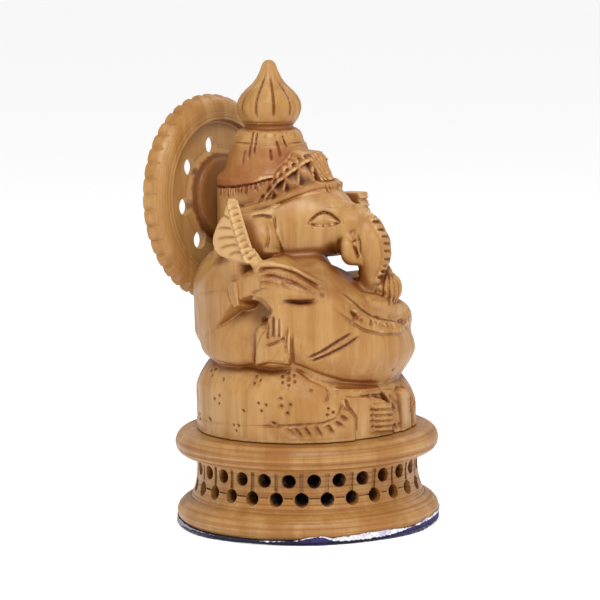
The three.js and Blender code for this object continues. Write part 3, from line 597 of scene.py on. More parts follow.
def carveEye(wood):
    low, high = (-24, -34, 92), (24, -6, 110)
    upper = [(1.2, 97.1), (2.6, 98.6), (4.6, 100.3), (6.7, 101.1), (8.9, 100.5), (10.9, 98.8), (12.4, 97.2)]
    lower = [(1.6, 97.3), (3.8, 96.6), (6.6, 96.3), (9.4, 96.6), (12.1, 97.4)]
    upperLid = [(3.4, 98), (5.2, 99.2), (6.8, 99.7), (8.4, 99.3), (10, 98.1)]

    def ball(x, y, z):
        u, v = sideView(x, y, z)
        inside = areaDistance(u, v, upper + [(9.2, 96.9), (6.6, 96.5), (4, 96.8)])
        rim = np.clip(1 + inside / 1.3, 0, 1)
        return np.where(inside < 0, 0.75 * rim, 0)
    wood.press(low, high, ball, 0.15)
    carveStroke(wood, low, high, upper, 0.48, 0.8, (0.2, 0.1), 0.7)
    carveStroke(wood, low, high, lower, 0.45, 0.75, (0.12, 0.12), 0.7)
    carveStroke(wood, low, high, upperLid, 0.35, 0.35, (0.4, 0.4), 0.5)
    carveStroke(wood, low, high, [(12.2, 98.6), (13, 97.2), (13.2, 96.4)], 0.4, 0.5, (0.2, 0.3), 0.6)
    for shift, depth in ((0, 0.3), (0.75, 0.24), (1.5, 0.2)):
        carveStroke(wood, low, high, [(5.4, 102.8 + shift), (9, 102.9 + shift), (13, 102 + shift)], 0.35, depth,
                    (0.5, 0.3), 0.4)
    # soft hollows: the eye's socket, beside the mouth and behind the cheek
    for centre, spread, depth in (((15, 94.5), 4.0, 0.9), ((9.6, 88.6), 2.6, 1.3), ((-2, 95), 5.5, 0.35)):
        def dent(x, y, z):
            u, v = sideView(x, y, z)
            return depth * np.exp(-((u - centre[0]) ** 2 + (v - centre[1]) ** 2) / (spread * spread))
        wood.press(low[:2] + (84,), high, dent, 0.0)
    # mouth and tusk
    carveStroke(wood, (-16, -32, 84), (16, -12, 104), [(12.9, 93.4), (11.9, 91.4), (11.4, 88.6), (11.6, 86.4)], 0.9,
                0.7, (0.4, 0.1), 0.3)
    carveStroke(wood, (-16, -34, 82), (16, -16, 104), [(16.1, 90.2), (17, 88), (17.7, 85.8)], 0.5, 1.0, (0.3, 0.1), 0.8)
    for path in ([(14.6, 93.8), (16.2, 94.8), (16.8, 92.6)], [(15.6, 91), (17.6, 91.9), (18.4, 90.6)],
                 [(17.2, 94), (18.2, 91), (18, 87.4)]):
        carveStroke(wood, (-16, -32, 84), (16, -12, 104), path, 0.45, 0.7, (0.2, 0.4), 0.8)


def carveTrunkRidge(wood):
    low, high = (-7, -40, 76), (7, -18, 108)

    def ridge(x, y, z):
        # a flat strip down the front of the trunk, with knife cuts that open towards the left side
        away = np.abs(x)
        strip = -0.5 * (1 - smoothStep(away, head["ridge"] - 0.5, head["ridge"] + 0.1)) * smoothStep(z, 80, 81.5)
        total = strip + 0 * y
        across = (1 - smoothStep(away, head["ridge"] - 0.1, head["ridge"] + 0.4)) * smoothStep(x, -2.4, -0.8)
        half = 0.42 + 0.12 * np.clip(x + 2, 0, 4)
        for level in head["notches"]:
            notch = wedge(np.abs(z - level + x * 0.12), half) * 1.35
            slope = wedge(np.abs(z - level - 0.8), 1.3) * 0.3
            total = total + (notch + slope) * across
        return total * (y < -22)
    wood.press(low, high, ridge, 0.6)
    for side in (-1, 1):
        def edge(x, y, z):
            gap = np.abs(x * side - head["ridge"] - 0.25)
            return wedge(gap, 0.5) * 0.4 * smoothStep(z, 79, 84) * (1 - smoothStep(z, 97, 101)) * (y < -22)
        wood.press(low, high, edge, 0.4)
    for k in range(5):
        # slanting cuts where the ridge runs out over the brow
        z = 101.2 + k * 0.95

        def slash(x, y, z0, level=z, size=k):
            gap = np.abs(z0 - level + np.abs(x) * 0.75)
            return wedge(gap, 0.42) * 0.55 * (1 - smoothStep(np.abs(x), 1.6, 3.4)) * (1 - 0.13 * size) * (y < -20)
        wood.press(low, high, slash, 0.7)


# Crown with its onion finial, turned on the lathe; its axis leans forward a little
crown = dict(
    y=14.2, lean=1.2, pivot=136.5, root=84.0,
    profile=[(17.3, 84), (17.3, 108), (17.3, 111), (17.35, 113.6), (16.9, 114.3), (14.9, 116.1), (14.3, 117.6),
             (13.7, 120.2), (12.7, 123.6), (12.2, 125.1), (11.7, 125.4), (11.7, 125.7), (11.4, 126.2), (11.0, 127.6),
             (10.4, 128.9), (9.2, 129.8), (8.0, 130.1), (7.9, 130.6), (8.7, 131.6), (9.6, 133), (10.3, 134.6),
             (10.7, 136.2), (10.7, 137.4), (10.3, 139), (9.4, 140.6), (8, 142.2), (6.5, 143.6), (5.2, 144.9),
             (4.3, 146.2), (3.6, 147.5), (3.0, 148.8), (2.5, 150.2), (2.0, 151.4), (1.1, 152.15), (0.02, 152.35)],
    leaves=11, leafTurn=-9, tableStep=0.12,
)


def crownPlace(x, y, z):
    # angle, reach and height round the crown's leaning axis
    tilt = math.radians(crown["lean"])
    forward, up = y - (crown["y"] - 1), z - crown["pivot"]
    yy = forward * math.cos(tilt) + up * math.sin(tilt)
    zz = up * math.cos(tilt) - forward * math.sin(tilt)
    return np.degrees(np.arctan2(-x, -yy)), np.sqrt(x * x + yy * yy), zz + crown["pivot"]


def crownShape():
    # the lathe profile as a table of distances, looked up by reach and height
    step = crown["tableStep"]
    reaches = np.arange(0, 24, step)
    levels = np.arange(82, 155, step)
    a, b = np.meshgrid(reaches, levels, indexing="ij")
    outline = [(-4, crown["root"])] + crown["profile"] + [(-4, crown["profile"][-1][1])]
    table = areaDistance(a, b, outline).astype(np.float32)

    def shape(x, y, z):
        _, reach, level = crownPlace(x, y, z)
        i = np.clip(reach / step, 0, len(reaches) - 1.001)
        j = np.clip((level - levels[0]) / step, 0, len(levels) - 1.001)
        i0, j0 = i.astype(np.int32), j.astype(np.int32)
        fi, fj = (i - i0).astype(np.float32), (j - j0).astype(np.float32)
        low = mix(table[i0, j0], table[i0 + 1, j0], fi)
        high = mix(table[i0, j0 + 1], table[i0 + 1, j0 + 1], fi)
        return mix(low, high, fj)
    return shape


def angleGap(angle, centre):
    return (angle - centre + 180) % 360 - 180


def carveCrown(wood):
    wood.join((-25, -10, 83), (25, 36, 153.2), crownShape(), 0.0)
    low, high = (-12, 1, 129.6), (12, 27, 153.2)

    def leaves(x, y, z):
        # each leaf of the bud is parted from the next by a cut that leans as it climbs to the tip
        angle, reach, level = crownPlace(x, y, z)
        rise = np.clip((level - 131) / 19, 0, 1)
        pitch = 360 / crown["leaves"]
        spin = angle - crown["leafTurn"] - 52
        gap = fromMark(spin / pitch) * pitch * np.radians(np.maximum(reach, 0.8))
        width = 0.58 * (1 - 0.35 * rise)
        depth = 1.05 * smoothStep(level, 132.6, 136) * (1 - smoothStep(level, 144.5, 149.5))
        return wedge(gap, width) * depth
    wood.press(low, high, leaves, 0.85)

    def hairLine(angle):
        # the line between crown and hair climbs towards the front
        return np.interp(np.abs(angle), [40, 58, 69, 94, 142], [115, 114, 113, 111.6, 110.5])

    def turnedLines(x, y, z):
        angle, _, level = crownPlace(x, y, z)
        total = 0
        for spot, depth in ((131.2, 0.3), (132.0, 0.2), (125.5, 0.45), (126.3, 0.1)):
            total = total + wedge(np.abs(level - spot), 0.28) * depth
        return np.maximum(total, wedge(np.abs(level - hairLine(angle)), 0.45) * 1.15)
    wood.press((-20, -6, 108), (20, 34, 134), turnedLines, 0.5)

    # upright cuts on the collar and the taper: the near set as in the photograph, then twice more round the back
    near = [((82.4, 129.4), (81.2, 121.3), (80, 119.4)), ((74, 129), (74.2, 121.2)), ((90.4, 123.4), (91, 118.2)),
            ((49.7, 123.8), (48, 119.8)), ((39, 126.6), (34.2, 120.6)), ((27.6, 128.3), (22.2, 123.4)),
            ((40, 129), (41.5, 126.5)), ((24, 129.2), (22, 127)), ((17, 129.2), (14.5, 127)), ((9, 129), (7, 127.2)),
            ((2, 129), (0, 127)), ((60, 128.8), (60.4, 127))]
    perDegree = 12.6 * math.pi / 180

    def upright(x, y, z):
        angle, _, level = crownPlace(x, y, z)
        total = 0
        for spin in (0, 118, 236):
            for k, path in enumerate(near):
                centre = path[0][0] + spin
                line = [((a + spin - centre) * perDegree, b) for a, b in path]
                gap, along = lineDistance(angleGap(angle, centre) * perDegree, level, line)
                total = np.maximum(total, wedge(gap, 0.43) * (1.1 if k < 6 else 0.6) * taper(along, 0.08, 0.25))
        return total
    wood.press((-17, -4, 117), (17, 31, 131), upright, 0.95)

    # hair: short upright cuts below the line, and a few level ones lower down
    rng = np.random.default_rng(3)
    hair = [(k * 3.3 + rng.uniform(-1.2, 1.2), rng.uniform(-2, 2), rng.uniform(2.2, 4.4)) for k in range(-54, 55)]
    chips = [(rng.uniform(-180, 180), rng.uniform(97, 106), rng.uniform(1.5, 4.5)) for _ in range(70)]

    def combed(x, y, z):
        angle, reach, level = crownPlace(x, y, z)
        total = 0
        arc = np.radians(np.maximum(reach, 4))
        line = hairLine(angle)
        for centre, lean, long in hair:
            gap = np.abs(angleGap(angle, centre + lean * (level - line) * 0.3)) * arc
            span = smoothStep(level, line - long, line - long + 1.6) * (level < line)
            total = np.maximum(total, wedge(gap, 0.5) * 0.95 * span)
        for centre, low, wide in chips:
            gap = np.abs(level - low - angleGap(angle, centre) * 0.03)
            span = 1 - smoothStep(np.abs(angleGap(angle, centre)) * arc, wide * 0.3, wide * 0.6)
            total = np.maximum(total, wedge(gap, 0.5) * 0.7 * span)
        return total * (reach < 18.3)
    wood.press((-19, -6, 95), (19, 34, 115), combed, 0.8)


# Tiara: a sloping wedge round the front of the crown, a beaded edge and a hatched plaque in the middle
tiara = dict(angles=[0, 13, 23, 38, 55, 75, 96], lowReach=[26.6, 26, 24.4, 22.3, 20.3, 19.6, 18],
             lowLevel=[110.2, 110, 109, 106.6, 103.2, 101.4, 100.4],
             topLevel=[123, 122.4, 120, 117, 110.8, 103.4, 101.4])


def tiaraShape(x, y, z):
    # each angle round the crown has its own reach, foot and top
    forward = y - crown["y"]
    reach = np.sqrt(x * x + forward * forward)
    angle = np.abs(np.degrees(np.arctan2(x, -forward)))
    low, level, top = (np.interp(angle, tiara["angles"], tiara[key]) for key in ("lowReach", "lowLevel", "topLevel"))
    surface = (reach - low + (z - level) * 0.44) * 0.9
    shape = smoothMax(surface, z - top - (19.5 - reach) * 0.12, 0.8)
    shape = smoothMax(shape, (level - z) * 0.92 - (reach - low) * 0.25, 1.2)
    return smoothMax(shape, angle - 100 + 0 * z, 1.0)


plaque = dict(y=-13.6, z=109.6, lean=25.7, half=3.5, widening=0.155, tall=15.2, thick=4.4)


def plaqueShape(x, y, z):
    # a flat tablet that leans back, ridged down the middle
    tilt = math.radians(plaque["lean"])
    forward, up = y - plaque["y"], z - plaque["z"]
    out = up * math.sin(tilt) - forward * math.cos(tilt)
    rise = up * math.cos(tilt) + forward * math.sin(tilt)
    half = plaque["half"] + plaque["widening"] * rise
    face = out - 0.2 + np.abs(x) * 0.3
    edge = np.abs(x) - half
    top = rise - plaque["tall"] + np.abs(x) * 0.42
    sides = smoothMax(smoothMax(face, edge, 0.5), top, 0.5)
    return smoothMax(sides, smoothMax(-rise - 0.4, -out - plaque["thick"], 0.1), 0.4)


def carveTiara(wood):
    wood.join((-28, -16, 98), (28, 18, 126), tiaraShape, 0.8)
    # a rolled rim below it, from ear to ear
    roll = []
    for angle in range(-96, 97, 12):
        reach = np.interp(abs(angle), tiara["angles"], tiara["lowReach"]) - 1.7
        level = np.interp(abs(angle), tiara["angles"], tiara["lowLevel"]) + 1.5
        spin = math.radians(angle)
        roll.append((reach * math.sin(spin), crown["y"] - reach * math.cos(spin), level, 2.5))
    wood.join((-28, -18, 96), (28, 22, 118), rodShape(roll), 0.7)
    wood.join((-9, -20, 106), (9, 2, 127), plaqueShape, 0.3)
    low, high = (-28, -18, 98), (28, 18, 128)

    def frontCuts(x, y, z):
        forward = y - crown["y"]
        angle = np.degrees(np.arctan2(x, -forward))
        side = np.abs(angle)
        reach = np.sqrt(x * x + forward * forward)
        arc = np.radians(reach)
        beadLine = np.interp(side, [10, 16, 42, 56, 75], [121.4, 120.6, 114.2, 108.6, 102.8])
        lowLine = np.interp(side, tiara["angles"], tiara["lowLevel"])
        total = wedge(np.abs(z - beadLine), 0.4) * 0.6 * (side > 9) * (side < 62)
        spots = side / 6.4 + 0.12 * np.sin(side * 1.9)
        beads = np.hypot(fromMark(spots) * 6.4 * arc, z - beadLine - 0.3)
        total = np.maximum(total, np.clip(1.25 - beads / 0.75, 0, 1) * 1.1 * (side > 8) * (side < 60))
        # a chip-carved band below the beads: pits between slanting ridges
        share = (z - lowLine - 3.2) / np.maximum(beadLine - lowLine - 4.6, 0.8)
        band = smoothStep(share, -0.05,
                          0.08) * (1 - smoothStep(share, 0.92, 1.02)) * (side > 8) * (1 - smoothStep(side, 46, 58))
        skew = side / 6.6 + 0.25 * np.sin(side * 0.55)
        pits = 1 - np.maximum(np.abs((skew + share) % 2 - 1), np.abs((skew - share) % 2 - 1))
        total = np.maximum(total, band * (0.35 + 1.9 * pits))
        lowCut = wedge(np.abs(z - lowLine - 3.1), 0.5) * 0.8 * (1 - smoothStep(side, 44, 60))
        total = np.maximum(total, lowCut)
        # the rolled rim has a second, fainter fold
        fold = wedge(np.abs(z - lowLine - 1.3 + side * 0.012), 0.45) * 0.4 * (side > 6) * (side < 48)
        return np.maximum(total, fold)
    wood.press(low, high, frontCuts, 0.7)

    def plaqueCuts(x, y, z):
        rise = (z - plaque["z"]) * 0.9 + (y - plaque["y"]) * 0.43
        half = plaque["half"] + plaque["widening"] * rise
        on = (np.abs(x) < half - 0.55) & (rise > 0.8) & (rise < 14.6) & (y < -4)
        hatch = (np.abs(x) - rise * 0.24) / 1.2
        lines = wedge(fromMark(hatch) * 1.2, 0.4) * 0.6 * on * (np.abs(x) > 0.5)
        frameCut = wedge(np.abs(np.abs(x) - half + 0.75), 0.32) * 0.6 * (rise > 0) * (rise < 15) * (y < -4)
        return np.maximum(lines, frameCut)
    wood.press((-8, -20, 108), (8, -2, 126), plaqueCuts, 0.8)


# Things held in the rear hands, and the sweet
leaf = dict(turn=92, face=35.2, back=31.2, vein=0.95, ribPitch=2.6)
# outlines on the leaf's own plane: across it and up
leafOutline = [(-2.6, 109.8), (-3.4, 107.4), (-4.6, 104.8), (-7.6, 101), (-9.6, 97.4), (-9.9, 95), (-8.8, 92.6),
               (-6.4, 91), (-2, 89.8), (3.4, 88.4), (6.8, 89.6), (5.9, 92.4), (4.3, 96), (2.9, 99.6), (1.6, 103),
               (0.5, 106), (-0.6, 109)]
leafRib = [(-2.2, 109), (-0.4, 103.2), (1.6, 97.6), (4.2, 91.6), (5.4, 88.6)]
leafVeins = [((-1.6, 103.4), (-6, 104.2)), ((-0.9, 100.2), (-7.8, 99.6)), ((0.2, 97.6), (-8.6, 95.8)),
             ((1.2, 95.2), (-7.4, 92.8)), ((2.4, 93), (-3.4, 90.8))]


def leafPlace(x, y):
    angle = math.radians(leaf["turn"])
    return x * math.cos(angle) - y * math.sin(angle), -x * math.sin(angle) - y * math.cos(angle)


def besideRib(across, z):
    # how far a point lies to the right of the midrib
    steps = sorted((level, side) for side, level in leafRib)
    return across - np.interp(z, [step[0] for step in steps], [step[1] for step in steps])


def leafShape(x, y, z):
    across, out = leafPlace(x, y)
    edge = areaDistance(across, z + 0 * across, leafOutline)
    # the strip right of the midrib stands proud; the broad lobe is a little hollow
    ribSide = besideRib(across, z)
    lobe = 0.02 * (across + 5) ** 2 * (ribSide < 0)
    crest = leaf["face"] + 1.0 * smoothStep(ribSide, -0.5, 0.5) - 0.35 * np.clip(ribSide, 0, 4) - lobe
    rim = smoothStep(edge, -1.4, 0)
    return smoothMax(smoothMax(out - crest + rim, edge, 0.4), leaf["back"] - out, 0.4)


def carveLeaf(wood):
    low, high = (-39, -13, 85), (-28, 13, 112)
    wood.join(low, high, leafShape, 0.3)

    def veins(x, y, z):
        across, out = leafPlace(x, y)
        z = z + 0 * across
        gap, _ = lineDistance(across, z, leafRib)
        ribSide = besideRib(across, z)
        total = wedge(gap, 0.5) * 0.9
        pitch = leaf["ribPitch"]
        notch = (z - across * 0.75) / pitch
        saw = (notch - np.floor(notch)) * pitch
        ribCuts = wedge(saw, 1.5) * 1.25 * smoothStep(ribSide, 0.1, 0.6) * smoothStep(z, 89.5, 91)
        total = np.maximum(total, ribCuts)
        for start, end in leafVeins:
            bend = (mix(start[0], end[0], 0.5), mix(start[1], end[1], 0.5) + 0.5)
            vein, run = lineDistance(across, z, [start, bend, end])
            total = np.maximum(total, wedge(vein, 0.6) * leaf["vein"] * taper(run, 0.05, 0.4))
        return total * (out > leaf["back"] + 1)
    wood.press(low, high, veins, 0.4)


emblem = dict(turn=-88, face=29.4, back=24.6, hatch=1.5)
emblemOutline = [(4.4, 106.9), (-3.6, 107), (-4.4, 105.2), (-3.8, 104.6), (-5, 102.8), (-4.4, 102.2), (-5.6, 100.4),
                 (-5, 99.8), (-6.6, 97.8), (-6.4, 92), (-7.6, 86), (-7.4, 76), (-3.4, 76), (-3.2, 86.4), (0.4, 90),
                 (7.4, 93), (6.6, 101)]


def emblemShape(x, y, z):
    # upright axe in the left rear hand, its blade stepped along the front edge
    angle = math.radians(emblem["turn"])
    across = x * math.cos(angle) - y * math.sin(angle)
    out = -x * math.sin(angle) - y * math.cos(angle)
    edge = areaDistance(across, z + 0 * across, emblemOutline)
    return smoothMax(smoothMax(out - emblem["face"] - 0.05 * (z - 96), edge, 0.5), emblem["back"] - out, 0.5)


sweet = dict(centre=(4.9, -30.8, 78.8), radii=(4.7, 4.5, 5.3), pleat=26,
             tip=[(5.4, -30.8, 81, 3.0), (5.2, -30.4, 84, 1.7), (5, -30.2, 86.2, 0.8)])


def carveHeld(wood):
    carveLeaf(wood)
    wood.join((18, -10, 74), (34, 12, 110), emblemShape, 0.4)

    def hatch(x, y, z):
        saw = fromMark((z + y * 0.8) / emblem["hatch"]) * emblem["hatch"]
        return wedge(saw, 0.4) * 0.5 * (z > 95) * (z < 106) * (np.abs(x - 26) > 1.8)
    wood.press((18, -10, 94), (34, 12, 107), hatch, 0.7)
    # pleated sweet in the left hand
    cx, cy, cz = sweet["centre"]
    wood.join((-3, -38, 70), (14, -22, 88), ballShape(sweet["centre"], sweet["radii"]), 0.8)
    wood.join((-3, -38, 74), (14, -22, 92), rodShape(sweet["tip"]), 0.6)

    def pleats(x, y, z):
        dx, dy, dz = x - cx, y - cy, z - cz - 4.2
        spin = np.degrees(np.arctan2(dx, -dy)) + 0 * dz
        flat = np.hypot(dx, dy)
        pitch = sweet["pleat"]
        gap = fromMark(spin / pitch) * pitch * np.radians(np.maximum(flat, 0.6))
        return wedge(gap, 0.5) * 0.75 * smoothStep(flat, 0.6, 2) * (z > 74)
    wood.press((-1, -38, 73), (12, -26, 87), pleats, 0.6)
    # fingers of the left hand round the sweet
    for k in range(4):
        finger = [(12 - k * 1.2, -26.4 - k * 0.5, 75.4 - k * 1.5, 1.5), (5, -30.8, 74.8 - k * 1.5, 1.5),
                  (0.5, -31.2, 74 - k * 1.4, 1.2)]
        wood.join((-6, -37, 68), (18, -18, 82), rodShape(finger), 0.35)


# Seat for the halo: a flat behind the shoulders and a round one for its hub
seat = dict(gap=0.3, radius=34.8, hub=13.9, hubRise=0.9)


def haloPlace(x, y, z):
    # reach from the halo's middle and depth behind its front plane
    tilt = math.radians(halo["lean"])
    back, up = y - halo["y"], z - halo["z"]
    depth = back * math.cos(tilt) - up * math.sin(tilt)
    rise = back * math.sin(tilt) + up * math.cos(tilt)
    return np.sqrt(x * x + rise * rise), depth


def carveSeat(wood):
    def seatShape(x, y, z):
        reach, depth = haloPlace(x, y, z)
        wide = np.maximum(reach - seat["radius"], -seat["gap"] - depth)
        hub = np.maximum(reach - seat["hub"], -seat["gap"] - seat["hubRise"] - depth)
        return np.minimum(wide, hub)
    wood.remove((-38, 26, 68), (38, 38, 145), seatShape, 0.0)


def carveHands(wood):
    # near fist round the leaf's stem
    wood.join((-38, -22, 74), (-18, 2, 96), ballShape((-27.4, -11, 81.6), (6.4, 7.4, 5), 25), 2.0)
    wood.join((-38, -14, 80), (-26, 4, 96), rodShape([(-33.2, -4.4, 92.4, 2.0), (-32, -8, 87, 2.1)]), 0.8)
    # far rear hand round the emblem
    wood.join((18, -18, 68), (36, 6, 92), ballShape((28, -8, 76), (5, 4.8, 4.6)), 2.0)


def figureBlock():
    wood = Block(block["low"], block["high"], block["step"])
    relief = carveLog()
    fillLog(wood, relief)
    print("log carved")
    carveHead(wood)
    carveCrown(wood)
    carveTiara(wood)
    carveHands(wood)
    carveHeld(wood)
    carveSeat(wood)
    wood.values = np.maximum(wood.values, (log["low"] - wood.axes[2])[None, None, :])
    print("head, crown and held things carved")
    return wood


# Skin over a block: one point in each cell that the surface crosses, joined across the crossed edges
def skinOf(wood):
    field = wood.values
    field[[0, -1]] = field[:, [0, -1]] = 5
    field[:, :, [0, -1]] = 5
    inside = field < 0
    shape = np.array(field.shape)
    cells = shape - 1
    total = np.zeros(cells, np.int8)
    for i in (0, 1):
        for j in (0, 1):
            for k in (0, 1):
                total += inside[i:i + cells[0], j:j + cells[1], k:k + cells[2]]
    active = np.argwhere((total > 0) & (total < 8))
    number = np.full(cells, -1, np.int32)
    number[tuple(active.T)] = np.arange(len(active))
    corners = {}
    for i in (0, 1):
        for j in (0, 1):
            for k in (0, 1):
                corners[i, j, k] = field[active[:, 0] + i, active[:, 1] + j, active[:, 2] + k]
    place = np.zeros((len(active), 3))
    count = np.zeros(len(active))
    for axis in range(3):
        others = [a for a in range(3) if a != axis]
        for p in (0, 1):
            for q in (0, 1):
                a, b = [0, 0, 0], [0, 0, 0]
                a[others[0]] = b[others[0]] = p
                a[others[1]] = b[others[1]] = q
                b[axis] = 1
                va, vb = corners[tuple(a)], corners[tuple(b)]
                cross = (va < 0) != (vb < 0)
                share = np.where(cross, va / np.where(cross, va - vb, 1), 0)
                spot = np.zeros((len(active), 3))
                spot[:, others[0]], spot[:, others[1]], spot[:, axis] = p, q, share
                place += spot * cross[:, None]
                count += cross
    points = (active + place / count[:, None]) * wood.step + wood.low
    faces = []
    for axis in range(3):
        others = [(axis + 1) % 3, (axis + 2) % 3]
        low = [slice(1, -1)] * 3
        low[axis] = slice(0, -1)
        high = list(low)
        high[axis] = slice(1, None)
        first, second = inside[tuple(low)], inside[tuple(high)]
        edges = np.argwhere(first != second)
        start = np.ones(3, int)
        start[axis] = 0
        grid = edges + start
        outward = first[tuple(edges.T)]
        ring = []
        for p, q in ((-1, -1), (0, -1), (0, 0), (-1, 0)):
            cell = grid.copy()
            cell[:, others[0]] += p
            cell[:, others[1]] += q
            ring.append(number[tuple(cell.T)])
        quad = np.stack(ring, 1)
        quad[~outward] = quad[~outward][:, ::-1]
        faces.append(quad)
    return points, np.concatenate(faces)


def fieldAt(grid, wood, points):
    spot = (points - wood.low) / wood.step
    low = np.clip(np.floor(spot).astype(int), 0, np.array(grid.shape) - 2)
    share = np.clip(spot - low, 0, 1)
    value = 0
    for i in (0, 1):
        for j in (0, 1):
            for k in (0, 1):
                weight = np.abs(1 - i - share[:, 0]) * np.abs(1 - j - share[:, 1]) * np.abs(1 - k - share[:, 2])
                value = value + weight * grid[low[:, 0] + i, low[:, 1] + j, low[:, 2] + k]
    return value


# Objects from points and faces, in millimetres
def meshObject(name, points, faces):
    mesh = bpy.data.meshes.new(name)
    mesh.vertices.add(len(points))
    mesh.vertices.foreach_set("co", (np.asarray(points, np.float64) * mm).astype(np.float32).ravel())
    faces = np.asarray(faces, np.int32)
    sides = faces.shape[1]
    mesh.loops.add(faces.size)
    mesh.loops.foreach_set("vertex_index", faces.ravel())
    mesh.polygons.add(len(faces))
    mesh.polygons.foreach_set("loop_start", np.arange(0, faces.size, sides, dtype=np.int32))
    mesh.update(calc_edges=True)
    mesh.validate()
    mesh.polygons.foreach_set("use_smooth", np.ones(len(mesh.polygons), bool))
    piece = bpy.data.objects.new(name, mesh)
    bpy.context.collection.objects.link(piece)
    return piece


def applied(piece):
    # the piece's modifiers are worked into its mesh
    bpy.context.view_layer.update()
    shape = piece.evaluated_get(bpy.context.evaluated_depsgraph_get())
    mesh = bpy.data.meshes.new_from_object(shape)
    piece.modifiers.clear()
    old = piece.data
    piece.data = mesh
    bpy.data.meshes.remove(old)
    mesh.name = piece.name
    return piece


def pointsOf(mesh):
    found = np.empty(len(mesh.vertices) * 3, np.float32)
    mesh.vertices.foreach_get("co", found)
    return found.reshape(-1, 3).astype(np.float64) / mm


def normalsOf(mesh):
    found = np.empty(len(mesh.vertices) * 3, np.float32)
    mesh.vertex_normals.foreach_get("vector", found)
    return found.reshape(-1, 3).astype(np.float64)


def addValues(mesh, name, values):
    kept = mesh.attributes.new(name, "FLOAT", "POINT")
    kept.data.foreach_set("value", np.asarray(values, np.float32))


def dropCrumbs(mesh):
    # removes the small loose bits that crossing knife cuts leave behind
    shape = bmesh.new()
    shape.from_mesh(mesh)
    unseen, groups = set(shape.verts), []
    while unseen:
        group, rim = [], [unseen.pop()]
        while rim:
            spot = rim.pop()
            group.append(spot)
            for edge in spot.link_edges:
                other = edge.other_vert(spot)
                if other in unseen:
                    unseen.discard(other)
                    rim.append(other)
        groups.append(group)
    groups.sort(key=len)
    bmesh.ops.delete(shape, geom=[spot for group in groups[:-1] for spot in group], context="VERTS")
    shape.to_mesh(mesh)
    shape.free()
    print("crumbs dropped:", len(groups) - 1)


figure = dict(triangles=190000, hollowReach=(1.2, 3.2, 7.0), skyReach=(4.0, 7.0, 11.0), sky=(-0.25, -0.3, 0.75),
              edgeReach=1.1)


def figurePiece(material):
    wood = figureBlock()
    points, faces = skinOf(wood)
    print("skin:", len(points), "points")
    piece = meshObject("carvedFigure", points, faces)
    reduce = piece.modifiers.new("fewer", "DECIMATE")
    reduce.ratio = min(1, figure["triangles"] / (2 * len(faces)))
    applied(piece)
    dropCrumbs(piece.data)
    spots, normals = pointsOf(piece.data), normalsOf(piece.data)
    # how much the surface is boxed in: the distance field rises slowly above a hollow; the colour uses it for painted
    # shade
    hollow = np.zeros(len(spots))
    for reach in figure["hollowReach"]:
        rise = fieldAt(wood.values, wood, spots + normals * reach) / reach
        hollow += np.clip(1 - rise, 0, 1) / len(figure["hollowReach"])
    # and how much is in the way of light from above
    shade = np.zeros(len(spots))
    for reach in figure["skyReach"]:
        toSky = normals * 0.75 + np.array(figure["sky"])
        rise = fieldAt(wood.values, wood, spots + normals * 0.6 + toSky * reach) / min(reach, 7.5)
        shade += np.clip(1 - rise, 0, 1) / len(figure["skyReach"])
    # undersides get painted shade too
    shade = np.maximum(shade, np.clip(-normals[:, 2] * 1.4 - 0.3, 0, 1))
    addValues(piece.data, "cut", np.clip(fieldAt(wood.cut, wood, spots - normals * 0.1), 0, 2))
    addValues(piece.data, "hollow", hollow)
    addValues(piece.data, "shade", shade)
    # thin edges, where the far side is near; the colour makes them paler, partly as wear and partly as a painted
    # highlight
    inward = fieldAt(wood.values, wood, spots - normals * figure["edgeReach"]) / figure["edgeReach"]
    addValues(piece.data, "edge", np.clip(1 + inward, 0, 1))
    piece.data.materials.append(material)
    print("figure:", len(piece.data.polygons), "faces")
    return piece


# Node trees: a Value stands for one output socket and takes the usual operators
class Value:
    def __init__(self, tree, socket):
        self.tree, self.socket = tree, socket

    def __add__(self, other):
        return self.tree.math("ADD", self, other)

    def __sub__(self, other):
        return self.tree.math("SUBTRACT", self, other)

    def __rsub__(self, other):
        return self.tree.math("SUBTRACT", other, self)

    def __mul__(self, other):
        return self.tree.math("MULTIPLY", self, other)

    def __abs__(self):
        return self.tree.math("ABSOLUTE", self)

    def __truediv__(self, other):
        return self.tree.math("DIVIDE", self, other)

    __radd__ = __add__
    __rmul__ = __mul__


class Tree:
    def __init__(self, tree):
        self.nodes, self.links = tree.nodes, tree.links

    def put(self, socket, value):
        for each in value if isinstance(value, list) else [value]:
            if isinstance(each, Value):
                self.links.new(each.socket, socket)
            else:
                socket.default_value = each

    def node(self, kind, output=0, settings=None, **inputs):
        # any node: its settings come first, then its sockets by name, with _ for a space
        made = self.nodes.new(kind)
        for key, value in (settings or {}).items():
            setattr(made, key, value)
        for key, value in inputs.items():
            self.put(made.inputs[key.replace("_", " ")], value)
        return Value(self, made.outputs[output])

    def math(self, operation, *operands):
        made = self.nodes.new("ShaderNodeMath")
        made.operation = operation
        for socket, value in zip(made.inputs, operands):
            self.put(socket, value)
        return Value(self, made.outputs[0])

    def vector(self, operation, *operands):
        made = self.nodes.new("ShaderNodeVectorMath")
        made.operation = operation
        for socket, value in zip(made.inputs, operands):
            self.put(socket, value)
        return Value(self, made.outputs["Vector"])

    def point(self, x, y, z):
        return self.node("ShaderNodeCombineXYZ", X=x, Y=y, Z=z)

    def parts(self, vector):
        apart = self.nodes.new("ShaderNodeSeparateXYZ")
        self.put(apart.inputs[0], vector)
        return [Value(self, socket) for socket in apart.outputs]

    def noise(self, where, scale, detail=3.0, roughness=0.5, distortion=0.0, output=0):
        return self.node("ShaderNodeTexNoise", output, Vector=where, Scale=scale, Detail=detail, Roughness=roughness,
                         Distortion=distortion)


